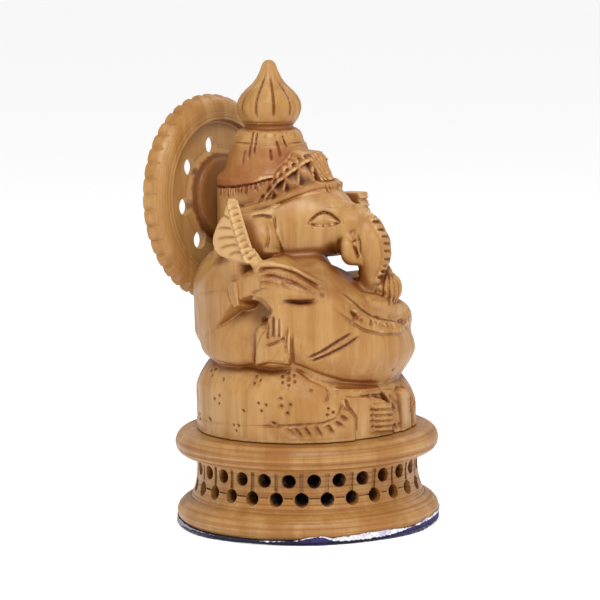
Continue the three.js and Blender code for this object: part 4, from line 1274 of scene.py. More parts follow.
# A Geometry Nodes recipe with named sizes, worked into the mesh of a piece
class Recipe(Tree):
    def __init__(self, name, **sizes):
        self.group = bpy.data.node_groups.new(name, "GeometryNodeTree")
        super().__init__(self.group)
        face = self.group.interface
        face.new_socket("Geometry", in_out="OUTPUT", socket_type="NodeSocketGeometry")
        face.new_socket("Geometry", in_out="INPUT", socket_type="NodeSocketGeometry")
        self.values = {}   # what the modifier is given, by socket identifier
        for key, value in sizes.items():
            kind = "NodeSocketInt" if isinstance(value, int) else "NodeSocketFloat"
            socket = face.new_socket(key, in_out="INPUT", socket_type=kind)
            self.values[socket.identifier] = value
        self.start = self.nodes.new("NodeGroupInput")
        self.shape = Value(self, self.start.outputs[0])

    def size(self, name):
        return Value(self, self.start.outputs[name])

    def moved(self, shape, place=(0.0, 0.0, 0.0), turn=(0.0, 0.0, 0.0), scale=(1.0, 1.0, 1.0)):
        return self.node("GeometryNodeTransform", Geometry=shape, Translation=place, Rotation=turn, Scale=scale)

    def ringOf(self, tool, count, radius, level, phase, least=(1.0, 1.0, 1.0), most=(1.0, 1.0, 1.0)):
        # copies of a tool stand round the z axis, each with its own x axis pointing outwards
        circle = self.node("GeometryNodeMeshCircle", Vertices=count, Radius=radius)
        spots = self.moved(circle, self.point(0.0, 0.0, level), self.point(0.0, 0.0, phase))
        flat = self.vector("MULTIPLY", self.node("GeometryNodeInputPosition"), (1.0, 1.0, 0.0))
        facing = self.node("FunctionNodeAlignRotationToVector", settings={"axis": "X", "pivot_axis": "Z"}, Vector=flat)
        sizes = self.node("FunctionNodeRandomValue", settings={"data_type": "FLOAT_VECTOR"}, Min=least, Max=most,
                          Seed=4)
        copies = self.node("GeometryNodeInstanceOnPoints", Points=spots, Instance=tool, Rotation=facing, Scale=sizes)
        return self.node("GeometryNodeRealizeInstances", Geometry=copies)

    def ragged(self, shape, amount, scale):
        # small unevenness, as a drill or a knife leaves it
        wobble = self.noise(self.node("GeometryNodeInputPosition"), scale, 2.0, output=1)
        push = self.vector("SCALE", self.vector("SUBTRACT", wobble, (0.5, 0.5, 0.5)))
        self.put(push.socket.node.inputs["Scale"], amount)
        return self.node("GeometryNodeSetPosition", Geometry=shape, Offset=push)

    def without(self, shape, *cutters):
        for cutter in cutters:
            shape = self.node("GeometryNodeMeshBoolean", settings={"operation": "DIFFERENCE", "solver": "MANIFOLD"},
                              Mesh_1=shape, Mesh_2=cutter)
        return shape

    def workInto(self, piece, shape, material):
        real = self.node("GeometryNodeRealizeInstances", Geometry=shape)
        done = self.node("GeometryNodeSetMaterial", Geometry=real, Material=material)
        self.put(self.nodes.new("NodeGroupOutput").inputs[0], done)
        modifier = piece.modifiers.new(self.group.name, "NODES")
        modifier.node_group = self.group
        for identifier, value in self.values.items():
            modifier[identifier] = value
        return applied(piece)


def finePath(points, step):
    # the outline's corners stay, and the stretches between them get points at even steps
    path = [points[0]]
    for (x0, y0), (x1, y1) in zip(points[:-1], points[1:]):
        count = max(1, round(math.hypot(x1 - x0, y1 - y0) / step))
        path += [(mix(x0, x1, k / count), mix(y0, y1, k / count)) for k in range(1, count + 1)]
    return path


def lined(path, lines):
    # fine lines left by the lathe: each is reach, height, width and depth
    path = np.array(path, float)
    along = np.gradient(path, axis=0)
    along /= np.hypot(*along.T)[:, None] + 1e-9
    normal = np.stack([along[:, 1], -along[:, 0]], 1)
    for reach, level, width, depth in lines:
        gap = np.hypot(path[:, 0] - reach, path[:, 1] - level)
        path = path - normal * (wedge(gap, width) * depth)[:, None]
    return path


def curved(points, rounds=2):
    # rounds off an open outline by cutting its corners
    for _ in range(rounds):
        fresh = [points[0]]
        for (x0, y0), (x1, y1) in zip(points[:-1], points[1:]):
            fresh += [(x0 * 0.75 + x1 * 0.25, y0 * 0.75 + y1 * 0.25), (x0 * 0.25 + x1 * 0.75, y0 * 0.25 + y1 * 0.75)]
        points = fresh + [points[-1]]
    return points


def inMetres(sizes, *keys):
    return {key: sizes[key] * mm for key in keys}


def closedPiece(name, points, faces):
    # a closed mesh from points in millimetres, its poles merged and its faces turned outwards
    mesh = bmesh.new()
    verts = [mesh.verts.new(Vector(p) * mm) for p in points]
    for face in faces:
        mesh.faces.new([verts[k] for k in face])
    bmesh.ops.remove_doubles(mesh, verts=mesh.verts, dist=1e-6)
    bmesh.ops.recalc_face_normals(mesh, faces=mesh.faces)
    data = bpy.data.meshes.new(name)
    mesh.to_mesh(data)
    mesh.free()
    piece = bpy.data.objects.new(name, data)
    bpy.context.collection.objects.link(piece)
    return piece


def turnedPiece(name, profile, sides):
    # a profile from the axis round to the axis again, turned and closed with a point at each end
    ring = np.array(profile, float)
    count = len(ring)
    angles = np.linspace(0, 2 * np.pi, sides, endpoint=False)
    points = np.stack([np.outer(np.cos(angles), ring[:, 0]), np.outer(np.sin(angles), ring[:, 0]),
                       np.broadcast_to(ring[:, 1], (sides, count))], -1).reshape(-1, 3)
    i, j = np.meshgrid(np.arange(sides), np.arange(count - 1), indexing="ij")
    nextSide = (i + 1) % sides
    quads = np.stack([i * count + j, nextSide * count + j, nextSide * count + j + 1, i * count + j + 1],
                     -1).reshape(-1, 4)
    return closedPiece(name, points, quads)


def finished(piece, crease=32):
    # smooth shading that keeps the sharp edges of cuts
    mesh = piece.data
    mesh.polygons.foreach_set("use_smooth", np.ones(len(mesh.polygons), bool))
    mesh.set_sharp_from_angle(angle=math.radians(crease))
    return piece


class Shader(Tree):
    def __init__(self, name):
        self.material = bpy.data.materials.new(name)
        self.material.use_nodes = True
        super().__init__(self.material.node_tree)
        self.surface = self.nodes["Principled BSDF"]

    def ramp(self, value, low, high, start=0.0, end=1.0):
        return self.node("ShaderNodeMapRange", settings={"interpolation_type": "SMOOTHSTEP"},
                         Value=value, From_Min=low, From_Max=high, To_Min=start, To_Max=end)

    def slope(self, value, low, high, start=0.0, end=1.0):
        # a ramp between two places in millimetres
        return self.ramp(value, low * mm, high * mm, start, end)

    def band(self, value, start, full, fade, end):
        # 1 between two places, fading out on both sides
        return self.slope(value, start, full) * self.slope(value, end, fade)

    def colours(self, a, b, share):
        made = self.nodes.new("ShaderNodeMix")
        made.data_type = "RGBA"
        for socket, value in zip((made.inputs[0], made.inputs[6], made.inputs[7]), (share, a, b)):
            self.put(socket, value)
        return Value(self, made.outputs[2])

    def stored(self, name):
        return self.node("ShaderNodeAttribute", "Fac", {"attribute_name": name})

    def set(self, **inputs):
        for key, value in inputs.items():
            self.put(self.surface.inputs[key.replace("_", " ")], value)
        return self.material


def rgb(red, green, blue):
    # a colour as it looks on screen, from 0 to 255
    return tuple((c / 255) ** 2.2 for c in (red, green, blue)) + (1.0,)


# Wood: honey-coloured, with upright grain and fine pores; warm browns paint shade into what is cut deep
timber = dict(
    light=rgb(190, 147, 92), middle=rgb(163, 114, 58), dark=rgb(132, 78, 30), hollow=rgb(120, 60, 13),
    cut=rgb(74, 30, 6), paleTone=rgb(216, 176, 122), rosy=rgb(148, 86, 44), streaks=240.0, stretch=0.06, pores=1400.0,
              roughness=0.44,
)


def woodColour(shade, where):
    along = shade.node("ShaderNodeMapping", Vector=where, Scale=(1.0, 1.0, timber["stretch"]))
    streaks = shade.noise(along, timber["streaks"], 4.0, 0.62, 0.3)
    broad = shade.noise(along, timber["streaks"] * 0.2, 3.0, 0.5, 0.8)
    pores = shade.noise(along, timber["pores"], 2.0, 0.6)
    cloud = shade.noise(where, 45.0, 3.0, 0.55)
    tone = shade.ramp(streaks * 0.4 + broad * 0.3 + cloud * 0.3, 0.39, 0.61)
    colour = shade.colours(timber["middle"], timber["light"], tone)
    colour = shade.colours(colour, timber["dark"], shade.ramp(cloud * 0.5 + broad * 0.5, 0.52, 0.7, 0.0, 0.5))
    colour = shade.colours(colour, timber["dark"], shade.ramp(pores, 0.58, 0.76, 0.0, 0.3))
    return colour, tone, streaks * 0.5 + pores * 0.5


def finishWood(shade, colour, tone, height, strength=0.15):
    # broad knife facets below, grain or lathe lines on top
    where = shade.node("ShaderNodeTexCoord", "Object")
    facets = shade.node("ShaderNodeBump", Strength=0.25, Distance=0.0008, Height=shade.noise(where, 210.0, 1.0))
    normal = shade.node("ShaderNodeBump", Strength=strength, Distance=0.0004, Height=height, Normal=facets)
    roughness = shade.ramp(tone, 0.0, 1.0, timber["roughness"] + 0.05, timber["roughness"] - 0.04)
    return shade.set(Base_Color=colour, Roughness=roughness, Normal=normal, Coat_Weight=0.12, Coat_Roughness=0.3,
                     Specular_IOR_Level=0.3)


def carvedWood():
    shade = Shader("carvedWood")
    where = shade.node("ShaderNodeTexCoord", "Object")
    colour, tone, height = woodColour(shade, where)
    x, y, z = shade.parts(where)
    side = y * 0.79 - x * 0.62   # distance towards the left edge of the photograph
    # painted shade makes the flank under the leaf, away from the light, a little browner
    shadedFlank = shade.slope(side, 2.0, 26.0) * shade.slope(z, 92.0, 84.0) * shade.slope(z, 50.0, 60.0)
    colour = shade.colours(colour, timber["dark"], shadedFlank * 0.28)
    # the crown and the hair keep more of the red heartwood, with painted shade making it strongest on that side, away
    # from the light
    redWoodAndShade = shade.band(z, 105.0, 112.0, 122.0, 127.0) * shade.slope(side, -9.0, 8.0, 0.35, 1.0)
    colour = shade.colours(colour, timber["rosy"], redWoodAndShade * shade.ramp(shade.noise(where, 90.0), 0.35, 0.65, 0.4, 0.95))
    # thin edges are paler, partly worn and partly a painted highlight; hollows and what lies out of the light get
    # painted shade in brown
    colour = shade.colours(colour, timber["paleTone"], shade.ramp(shade.stored("edge"), 0.12, 0.6, 0.0, 0.6))
    colour = shade.colours(colour, timber["hollow"], shade.ramp(shade.stored("hollow"), 0.06, 0.5, 0.0, 0.75))
    colour = shade.colours(colour, timber["hollow"], shade.ramp(shade.stored("shade"), 0.25, 0.95, 0.0, 0.52))
    # painted shadow also browns the chest under the head and the head's lower edge
    chestShadow = shade.band(z, 76.0, 81.0, 86.0, 88.5) * shade.band(side, -21.0, -17.0, -2.0, 5.0)
    jawShadow = shade.band(z, 86.0, 88.0, 90.5, 93.0) * shade.slope(y, -19.0, -16.0)
    jawShadow = jawShadow * shade.ramp(x * x, (21.0 * mm) ** 2, (19.0 * mm) ** 2)
    colour = shade.colours(colour, timber["hollow"], chestShadow * 0.36 + jawShadow * 0.4)
    # the leaf is paler sapwood, and its knife cuts are lighter too
    pale = shade.slope(x, -30.4, -31.4) * shade.slope(z, 88.0, 90.5)
    colour = shade.colours(colour, timber["paleTone"], pale * 0.5)
    # knife cuts darken by their depth: partly the darker cut wood, partly painted shade in the narrow cuts
    colour = shade.colours(colour, timber["cut"],
                           shade.ramp(shade.stored("cut"), 0.15, 1.0, 0.0, 0.85) * (1.0 - pale * 0.5))
    return finishWood(shade, colour, tone, height)


# Halo: a turned disc, drilled through eight times and notched all round its rim
halo = dict(
    y=33.5, z=106.3, lean=2.5, sides=320, holes=8, holeRadius=3.0, holeCircle=17.5, holePhase=6.5,
    teeth=40, toothDepth=1.7, toothWidth=1.75, toothReach=32.9, toothTilt=13.0, holeRagged=0.16, toothRagged=0.35,
    # profile: reach and depth behind the face, for the web in front, the lip, and the back
    front=[(0.0, -0.9), (12.1, -0.9), (12.9, -0.72), (13.4, -0.25), (13.6, 0.3), (13.65, 1.1), (14.3, 1.35),
           (15.0, 1.75), (15.6, 2.2), (16.1, 2.3), (24.9, 2.3), (25.3, 2.2)],
    lip=[(25.45, 1.9), (25.5, 0.7), (25.75, 0.1), (26.1, -0.05), (26.5, 0.0), (29.4, 0.0), (30.4, 0.12), (31.4, 0.5),
         (32.3, 1.15), (33.1, 2.1), (33.8, 3.3), (34.25, 4.4), (34.45, 5.2), (34.4, 5.8), (34.0, 6.0)],
    back=[(26.4, 6.0), (25.7, 5.85), (25.4, 5.4), (25.35, 4.95), (24.9, 4.9), (0.0, 4.9)],
    # lathe lines: reach, depth, width and how deep they are cut
    lines=[(26.75, 0.0, 0.3, 0.24), (27.55, 0.0, 0.25, 0.16), (28.2, 0.0, 0.25, 0.2), (30.9, 0.3, 0.3, 0.03),
           (29.3, 0.0, 0.2, 0.05), (25.5, 1.2, 0.25, 0.12), (24.6, 2.3, 0.4, 0.14), (16.4, 2.3, 0.4, 0.16),
           (20.9, 2.3, 0.3, 0.06), (13.0, -0.75, 0.2, 0.12)],
)


def haloPiece(material):
    front = halo["front"]
    rings = finePath(front[:9], 0.8) + finePath(front[9:] + halo["lip"], 0.22) + finePath(halo["back"], 0.9)
    path = lined(rings, halo["lines"])
    disc = turnedPiece("haloDisc", [(reach, -depth) for reach, depth in path], halo["sides"])
    recipe = Recipe("pierceAndNotchHalo", holes=halo["holes"], holePhase=math.radians(halo["holePhase"]),
                    teeth=halo["teeth"], **inMetres(halo, "holeRadius", "holeCircle", "toothDepth"))
    drill = recipe.node("GeometryNodeMeshCylinder", Vertices=32, Side_Segments=8, Radius=recipe.size("holeRadius"),
                        Depth=16 * mm)
    drills = recipe.ringOf(drill, recipe.size("holes"), recipe.size("holeCircle"), 0.0, recipe.size("holePhase"))
    # a knife with a broad edge, leaning so that the notch runs out on the front
    knife = recipe.node("GeometryNodeMeshCylinder", Vertices=4, Side_Segments=10, Radius=recipe.size("toothDepth"),
                        Depth=13 * mm)
    knife = recipe.moved(knife, (0.0, 0.0, -3.0 * mm), (0.0, -math.radians(halo["toothTilt"]), 0.0),
                         (1.0, halo["toothWidth"], 1.0))
    reach = recipe.size("toothDepth") + halo["toothReach"] * mm
    knives = recipe.ringOf(knife, recipe.size("teeth"), reach, 0.0, 0.05)
    cut = recipe.without(recipe.shape, recipe.ragged(drills, halo["holeRagged"] * mm, 420.0),
                         recipe.ragged(knives, halo["toothRagged"] * mm, 500.0))
    recipe.workInto(disc, cut, material)
    place = Matrix.Translation(Vector((0, halo["y"], halo["z"])) * mm)
    disc.data.transform(place @ Matrix.Rotation(math.radians(90 - halo["lean"]), 4, "X"))
    return finished(disc, 38)


# Plinth: a turned ring, hollow below, with two staggered rows of drilled holes and short knife cuts between them
plinth = dict(
    sides=336, holes=28, holeRadius=2.3, drillRing=34.5, upperRow=19.6, lowerRow=13.6, phase=2.6, ragged=0.5,
    wall=36.6, cutLevel=18.9, cutDeep=2.0, cutWide=0.8, cutHigh=6.2, cutRagged=0.22, lean=-3.0,
    dashRing=36.8, dashDeep=1.6, dashLong=3.2, dashWide=0.26, arcRadius=3.05,
    # profile up to the hollow, the rim's centre, height, radius and stretch of angles, and the lathe lines
    foot=[(41.6, 1.5), (42.4, 1.8), (43.0, 2.6), (43.35, 3.7), (43.4, 4.8), (43.1, 5.9), (42.5, 6.8), (41.6, 7.7),
          (40.4, 8.5), (39.2, 9.1), (38.5, 9.5), (38.35, 10.1), (38.0, 10.8), (37.5, 12.0), (37.1, 13.4), (36.8, 15.2),
          (36.6, 17.0), (36.5, 19.0), (36.6, 21.0), (36.85, 22.2), (37.4, 22.95), (38.4, 23.4), (39.3, 23.7)],
    torus=(39.35, 27.4, 4.25, -52, 86),
    lines=[(42.3, 7.1, 0.34, 0.32), (41.0, 8.15, 0.26, 0.18), (38.75, 9.3, 0.32, 0.36), (38.3, 10.3, 0.32, 0.32),
           (38.05, 10.75, 0.24, 0.16), (43.3, 5.35, 0.28, 0.14), (42.9, 2.5, 0.24, 0.12), (36.85, 22.3, 0.28, 0.26),
           (42.1, 24.1, 0.34, 0.32), (42.85, 24.95, 0.34, 0.3), (43.3, 25.8, 0.34, 0.28), (43.55, 26.7, 0.3, 0.18),
           (43.4, 28.6, 0.28, 0.08), (42.3, 30.5, 0.28, 0.08)],
)


def plinthPiece(material):
    centre, level, size, start, end = plinth["torus"]
    rim = [(centre + size * math.cos(math.radians(a)),
            level + size * math.sin(math.radians(a))) for a in range(start, end, 5)]
    outside = curved(plinth["foot"], 1) + [(40.2, 23.85), (41.2, 23.75)] + rim[1:] + [(centre, 31.6)]
    path = lined(finePath(outside, 0.26), plinth["lines"])
    inside = finePath([(38.6, 31.6), (30, 31.6), (20, 31.6), (0.0, 31.6)], 6)
    below = finePath([(0.0, 25.2), (30.6, 25.2), (31.0, 24.8), (31.0, 1.9), (31.3, 1.5), (41.2, 1.5)], 2.5)
    body = turnedPiece("plinthRing", below + [tuple(p) for p in path] + inside, plinth["sides"])
    pitch = 2 * math.pi / plinth["holes"]
    recipe = Recipe("drillPlinth", holes=plinth["holes"],
                    **inMetres(plinth, "holeRadius", "upperRow", "lowerRow", "cutDeep", "cutHigh"))
    upper = math.radians(plinth["phase"])
    lower = upper + pitch / 2
    drill = recipe.node("GeometryNodeMeshCylinder", Vertices=26, Side_Segments=9, Radius=recipe.size("holeRadius"),
                        Depth=13 * mm)
    drill = recipe.moved(drill, turn=(0.0, math.pi / 2, 0.0))
    ring = plinth["drillRing"] * mm
    top = recipe.ringOf(drill, recipe.size("holes"), ring, recipe.size("upperRow"), upper)
    bottom = recipe.ringOf(drill, recipe.size("holes"), ring, recipe.size("lowerRow"), lower)
    blade = recipe.node("GeometryNodeMeshCube",
                        Size=recipe.point(recipe.size("cutDeep"), plinth["cutWide"] * mm, recipe.size("cutHigh")),
                        Vertices_X=3, Vertices_Y=2, Vertices_Z=12)
    blade = recipe.moved(blade, turn=(math.radians(plinth["lean"]), 0.0, 0.0))
    upright = recipe.ringOf(blade, recipe.size("holes"), plinth["wall"] * mm, plinth["cutLevel"] * mm, lower,
                            (0.5, 0.7, 0.7), (1.1, 1.9, 1.1))
    dashSize = tuple(plinth[key] * mm for key in ("dashDeep", "dashLong", "dashWide"))
    dash = recipe.node("GeometryNodeMeshCube", Size=dashSize, Vertices_X=3, Vertices_Y=6, Vertices_Z=2)
    dashLevel = recipe.size("lowerRow") + 0.5 * mm
    dashes = recipe.ringOf(dash, recipe.size("holes"), plinth["dashRing"] * mm, dashLevel, upper,
                           (0.8, 0.7, 0.8), (1.1, 1.2, 2.2))
    rows = recipe.node("GeometryNodeJoinGeometry", Geometry=[top, bottom])
    cuts = recipe.node("GeometryNodeJoinGeometry", Geometry=[upright, dashes])
    drilled = recipe.without(recipe.shape, recipe.ragged(rows, plinth["ragged"] * mm, 380.0),
                             recipe.ragged(cuts, plinth["cutRagged"] * mm, 600.0))
    recipe.workInto(body, drilled, material)
    return finished(body, 34)


# Pad: felt-covered card, and the torn white paper that shows round its edge
pad = dict(radius=43.2, tear=0.4, high=1.15, sides=720, paperLow=0.75, paperTop=4.3, paperReach=44.35, paperSides=1080,
           paperRows=9)
# top of the torn edge and of the violet in it, round the foot: turn, edge height, violet height
tornEdge = [(-180, 1.7, 1.3), (-150, 2.1, 1.2), (-120, 1.7, 1.4), (-98, 2.6, 1.6), (-70, 2.8, 2.6), (-45, 3.9, 3.1),
            (-30, 3.7, 3.0), (-14, 3.6, 2.8), (-4, 3.0, 2.5), (5, 2.5, 2.2), (12, 2.6, 1.7), (18, 3.1, 1.3),
            (28, 3.2, 1.2), (36, 2.6, 1.3), (42, 2.3, 1.5), (46, 3.0, 2.7), (50, 2.9, 2.8), (56, 1.9, 1.9),
            (64, 1.5, 1.6), (70, 1.5, 1.3), (78, 1.3, 1.6), (95, 1.3, 1.5), (112, 1.7, 1.5), (126, 2.3, 0.9),
            (142, 2.4, 0.8), (160, 1.7, 1.1), (180, 1.7, 1.3)]


def unevenRing(angles, seed, steps, fade=0.5):
    # a ragged line that closes on itself
    rng = np.random.default_rng(seed)
    total = np.zeros_like(angles)
    for k in steps:
        total += np.sin(k * angles + rng.uniform(0, 2 * np.pi)) / k ** fade
    return total


def padPiece(material):
    angles = np.linspace(0, 2 * np.pi, pad["sides"], endpoint=False)
    wave = np.sin(3 * angles + 0.6) + np.sin(7 * angles)
    edge = pad["radius"] + pad["tear"] * wave + 0.18 * unevenRing(angles, 4, range(20, 160, 7), 0.45)
    high = pad["high"]
    # each is a share of the radius and a height
    rows = [(0, 0.0), (0.9, 0.0), (0.985, 0.0), (0.996, 0.12), (1.0, 0.45), (1.0, 0.8), (0.997, 1.05), (0.985, high),
            (0.9, high), (0, high)]
    points, faces = [], []
    for share, level in rows:
        points += [(edge[k] * share * math.cos(a), edge[k] * share * math.sin(a), level) for k, a in enumerate(angles)]
    count = len(angles)
    for row in range(len(rows) - 1):
        for k in range(count):
            n = (k + 1) % count
            faces.append((row * count + k, row * count + n, (row + 1) * count + n, (row + 1) * count + k))
    piece = closedPiece("feltPad", points, faces)
    piece.data.materials.append(material)
    return finished(piece, 50)


def paperPiece(material):
    count, rows = pad["paperSides"], pad["paperRows"]
    angles = np.linspace(0, 2 * np.pi, count, endpoint=False)
    turnOf = np.degrees(np.arctan2(-np.cos(angles), -np.sin(angles)))
    stops, tops, violets = zip(*tornEdge)
    ragged = unevenRing(angles, 9, list(range(9, 60, 5)) + list(range(70, 330, 17)), 0.55)
    top = np.interp(turnOf, stops, tops)
    top = np.clip(top + 0.28 * ragged * np.clip(top - 1.1, 0.3, 1.4), pad["high"], pad["paperTop"])
    violet = np.interp(turnOf, stops, violets) + 0.16 * unevenRing(angles, 15, range(14, 240, 11), 0.5)
    low = pad["paperLow"] + 0.12 * unevenRing(angles, 21, range(12, 200, 13), 0.4)
    crumple = 0.1 * unevenRing(angles, 33, range(25, 260, 11), 0.45)
    bulge = np.interp(top, [1.5, pad["paperTop"]], [0, 0.35])
    points, faces, above = [], [], []
    for side in (0, 1):
        for row in range(rows):
            share = row / (rows - 1)
            # the paper follows the plinth's foot and its torn edge curls away a little
            level = mix(low, top, share)
            foot = np.interp(level, [1.5, 2.6, 3.7, 4.8], [41.9, 43.0, 43.35, 43.4])
            outer = np.maximum(foot, 43.1) + 0.32 + crumple * (0.4 + share) + bulge * share * 0.5
            reach = np.minimum(outer, pad["paperReach"]) - (0 if side else 0.3 + 0.25 * (1 - share))
            points += [(r * math.cos(a), r * math.sin(a), z) for r, a, z in zip(reach, angles, level)]
            above.append(level - violet)
    total = rows * count
    for k in range(count):
        n = (k + 1) % count
        for row in range(rows - 1):
            a, b, c, d = row * count + k, row * count + n, (row + 1) * count + n, (row + 1) * count + k
            faces += [(a, d, c, b), (a + total, b + total, c + total, d + total)]
        last = (rows - 1) * count
        faces += [(k, n, n + total, k + total), (last + k, last + k + total, last + n + total, last + n)]
    piece = closedPiece("tornPaper", points, faces)
    addValues(piece.data, "above", np.concatenate(above))
    piece.data.materials.append(material)
    return finished(piece, 60)


def turnedWood(name, ringWay, share):
    # turned pieces: the same wood with the fine lines of the lathe; ringWay gives the distance they repeat over
    shade = Shader(name)
    where = shade.node("ShaderNodeTexCoord", "Object")
    colour, tone, height = woodColour(shade, where)
    rings = shade.noise(ringWay(shade, where), 1.0, 3.0, 0.6)
    colour = shade.colours(colour, timber["dark"], shade.ramp(rings, 0.42, 0.7, 0.1 * share, share))
    return shade, where, colour, tone, height * 0.4 + rings * 0.9


def plinthWood():
    def ringWay(shade, where):
        x, y, z = shade.parts(where)
        return shade.point(x * 8.0, y * 8.0, z * 1500.0)
    shade, where, colour, tone, height = turnedWood("plinthWood", ringWay, 0.8)
    x, y, z = shade.parts(where)
    pitch = 2 * math.pi / plinth["holes"]
    angle = shade.math("ARCTAN2", y, x)

    def fromHole(phase):
        # distance along the wall from the nearest hole of a row
        turnPart = shade.math("FRACT", (angle - math.radians(plinth["phase"])) / pitch + (10.5 + phase)) - 0.5
        return turnPart * (pitch * plinth["wall"] * mm)

    # faint arcs scribed round the drilled holes, whose rims are darker too
    arcs = 0.0
    for level, phase, outer in ((plinth["upperRow"], 0.0, 1), (plinth["lowerRow"], 0.5, -1)):
        across, along = fromHole(phase), z - level * mm
        gap = shade.math("SQRT", across * across + along * along)
        arc = shade.slope(abs(gap - plinth["arcRadius"] * mm), 0.2, 0.04)
        rimDark = shade.slope(gap, 2.75, 2.3)
        arcs = arcs + arc * shade.slope(along * outer, 1.2, 2.4) + rimDark * 0.5
    # colour of the knife cuts between the holes of the upper row
    tall = abs(z - plinth["cutLevel"] * mm)
    knife = shade.slope(abs(fromHole(0.5)), 0.9, 0.3) * shade.slope(tall, 3.6, 2.6)
    broken = shade.ramp(shade.noise(where, 300.0), 0.38, 0.6)
    outside = shade.ramp(x * x + y * y, (36.0 * mm) ** 2, (36.4 * mm) ** 2)
    arcs = arcs * broken * outside
    colour = shade.colours(colour, timber["hollow"], arcs * 0.55)
    colour = shade.colours(colour, timber["hollow"], knife * outside * 0.7)
    # painted shade darkens the hollow and the insides of the holes
    shadedInside = shade.ramp(x * x + y * y, (36.2 * mm) ** 2, (34.5 * mm) ** 2) * shade.slope(z, 31.0, 30.0)
    colour = shade.colours(colour, timber["cut"], shadedInside * 0.75)
    return finishWood(shade, colour, tone, height - arcs * 0.6, 0.2)


def haloParts(shade, where):
    # depth behind the halo's face and distance from its centre
    local = shade.node("ShaderNodeMapping", Vector=where, Location=(0.0, -halo["y"] * mm, -halo["z"] * mm))
    x, y, z = shade.parts(local)
    return y, shade.math("SQRT", x * x + z * z)


def haloWood():
    def ringWay(shade, where):
        return shade.point(haloParts(shade, where)[1] * 1300.0, 0.0, 0.0)
    shade, where, colour, tone, height = turnedWood("haloWood", ringWay, 0.4)
    y, reach = haloParts(shade, where)
    # painted light: the front of the recessed web is made lighter against the shade the figure casts on it
    front = shade.slope(y, 4.6, 3.4)
    litWeb = shade.slope(reach, 26.2, 25.3)
    colour = shade.colours(colour, timber["light"], litWeb * front * 0.35)
    # brown round the hub and scorched where it meets the web; the brown in the step of the lip is painted shade
    wander = reach + (shade.noise(where, 260.0, 4.0, 0.7) - 0.5) * 3.0 * mm
    hub = shade.slope(wander, 15.2, 14.4) * front
    colour = shade.colours(colour, timber["hollow"], hub * 0.6)
    scorch = shade.slope(abs(wander - 13.7 * mm), 1.1, 0.3) * front
    colour = shade.colours(colour, timber["cut"], scorch * 0.45)
    step = shade.slope(abs(reach - 25.5 * mm), 0.5, 0.1)
    colour = shade.colours(colour, timber["hollow"], step * 0.6)
    return finishWood(shade, colour, tone, height, 0.2)


def feltCloth():
    shade = Shader("violetFelt")
    where = shade.node("ShaderNodeTexCoord", "Object")
    fuzz = shade.noise(where, 1800.0, 3.0, 0.7)
    patches = shade.noise(where, 130.0, 3.0, 0.6)
    colour = shade.colours(rgb(14, 12, 30), rgb(40, 34, 78), shade.ramp(fuzz * 0.5 + patches * 0.5, 0.36, 0.64))
    normal = shade.node("ShaderNodeBump", Strength=0.5, Distance=0.0004, Height=fuzz)
    return shade.set(Base_Color=colour, Roughness=0.95, Normal=normal, Sheen_Weight=0.4, Specular_IOR_Level=0.2)


def tornPaper():
    shade = Shader("tornPaper")
    where = shade.node("ShaderNodeTexCoord", "Object")
    fibres = shade.noise(where, 900.0, 4.0, 0.65)
    stain = shade.noise(where, 160.0, 3.0, 0.6)
    colour = shade.colours(rgb(196, 196, 208), rgb(240, 240, 242), shade.ramp(fibres, 0.35, 0.6))
    x, y, z = shade.parts(where)
    # the side under the figure's right shoulder is greyer
    greyerSide = shade.slope(y * 0.79 - x * 0.62, 33.0, 39.0)
    colour = shade.colours(colour, rgb(122, 116, 140), greyerSide * 0.8)
    colour = shade.colours(colour, rgb(150, 142, 190), shade.ramp(stain, 0.5, 0.66, 0.0, 0.6))
    violet = shade.colours(rgb(26, 22, 56), rgb(62, 52, 112), shade.ramp(fibres * 0.5 + stain * 0.5, 0.38, 0.62))
    # painted shadow: the violet darkens towards its bottom, where the pad's edge lies in shade
    violet = shade.colours(violet, rgb(12, 10, 22), shade.slope(z, 1.7, 0.9, 0.0, 0.85))
    over = shade.stored("above") + (fibres - 0.5) * 1.2
    colour = shade.colours(violet, colour, shade.ramp(over, -0.12, 0.12))
    normal = shade.node("ShaderNodeBump", Strength=0.6, Distance=0.0004, Height=fibres)
    return shade.set(Base_Color=colour, Roughness=0.9, Normal=normal)


# Camera at the photograph's angle
camera = dict(turn=52.0, rise=7.5, distance=950.0, lens=172.8, height=73.4, shift=-1.4, roll=1.1)


def makeCamera():
    turnBy, rise, roll = (math.radians(camera[key]) for key in ("turn", "rise", "roll"))
    back = Vector((-math.sin(turnBy) * math.cos(rise), -math.cos(turnBy) * math.cos(rise), math.sin(rise)))
    side = Vector((math.cos(turnBy), -math.sin(turnBy), 0))
    up = back.cross(side)
    target = Vector((0, 0, camera["height"])) + camera["shift"] * side
    right = math.cos(roll) * side - math.sin(roll) * up
    top = math.sin(roll) * side + math.cos(roll) * up
    lens = bpy.data.cameras.new("photoCamera")
    lens.lens, lens.sensor_width = camera["lens"], 36.0
    lens.clip_start, lens.clip_end = 0.05, 20.0
    eye = bpy.data.objects.new("photoCamera", lens)
    place = Matrix((right, top, back)).transposed().to_4x4()
    place.translation = (target + camera["distance"] * back) * mm
    eye.matrix_world = place
    bpy.context.collection.objects.link(eye)
    bpy.context.scene.camera = eye
    return right, back


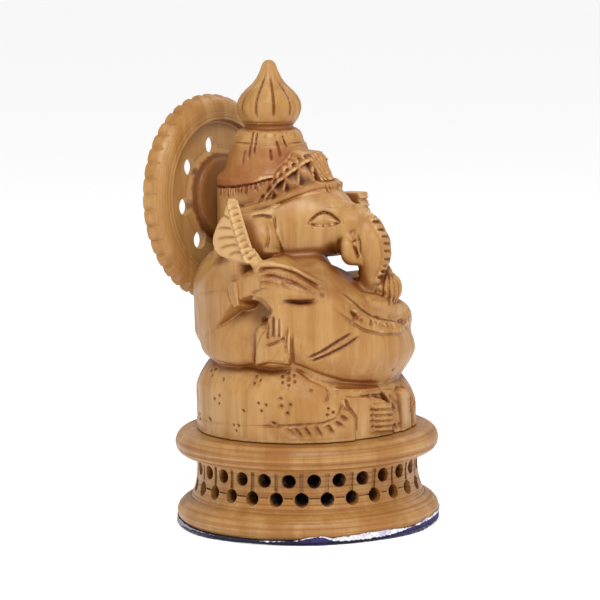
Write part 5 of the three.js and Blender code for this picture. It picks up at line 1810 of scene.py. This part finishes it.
# Floor and studio light
studio = dict(
    floor=rgb(250, 250, 250), floorSize=18.0, glow=0.36, air=0.6, aim=0.07,
    # lamps: metres towards the camera, to its right and up, then power and width
    keyLight=(0.6, 0.03, 0.8, 5.3, 0.34), fillLight=(0.7, 0.55, 0.35, 0.7, 0.6), rimLight=(-0.5, 0.25, 0.6, 0.7, 0.4),
)


def makeStudio(right, back):
    size = studio["floorSize"]
    mesh = bpy.data.meshes.new("floor")
    mesh.from_pydata([(-size, -size, 0), (size, -size, 0), (size, size, 0), (-size, size, 0)], [], [(0, 1, 2, 3)])
    floor = bpy.data.objects.new("floor", mesh)
    bpy.context.collection.objects.link(floor)
    shade = Shader("paleFloor")
    floor.data.materials.append(shade.set(Base_Color=studio["floor"], Roughness=0.9,
                                          Emission_Color=(1.0, 1.0, 1.0, 1.0),
                                          Emission_Strength=studio["glow"]))
    flat = Vector((back.x, back.y, 0)).normalized()
    aim = Vector((0, 0, studio["aim"]))
    for name in ("keyLight", "fillLight", "rimLight"):
        ahead, aside, up, power, width = studio[name]
        light = bpy.data.lights.new(name, "AREA")
        light.energy, light.shape, light.size = power, "DISK", width
        lamp = bpy.data.objects.new(name, light)
        lamp.location = flat * ahead + right * aside + Vector((0, 0, up)) + aim
        lamp.rotation_euler = (aim - lamp.location).to_track_quat("-Z", "Y").to_euler()
        bpy.context.collection.objects.link(lamp)
    world = bpy.data.worlds.new("studioAir")
    world.use_nodes = True
    air = world.node_tree.nodes["Background"]
    air.inputs["Color"].default_value = (1, 1, 1, 1)
    air.inputs["Strength"].default_value = studio["air"]
    bpy.context.scene.world = world
    bpy.context.scene.view_settings.view_transform = "Standard"


right, back = makeCamera()
makeStudio(right, back)
print("camera and studio made")

dressed = [
    (figurePiece(carvedWood()), "figure", "carved_wood"),
    (haloPiece(haloWood()), "halo", "turned_wood"),
    (plinthPiece(plinthWood()), "plinth", "turned_wood"),
    (padPiece(feltCloth()), "base_pad", "felt_card"),
]
print("all pieces made")
for piece, node, finish in dressed:
    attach(piece, "root")
    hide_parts(node)
paper = paperPiece(tornPaper())
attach(paper, "root")
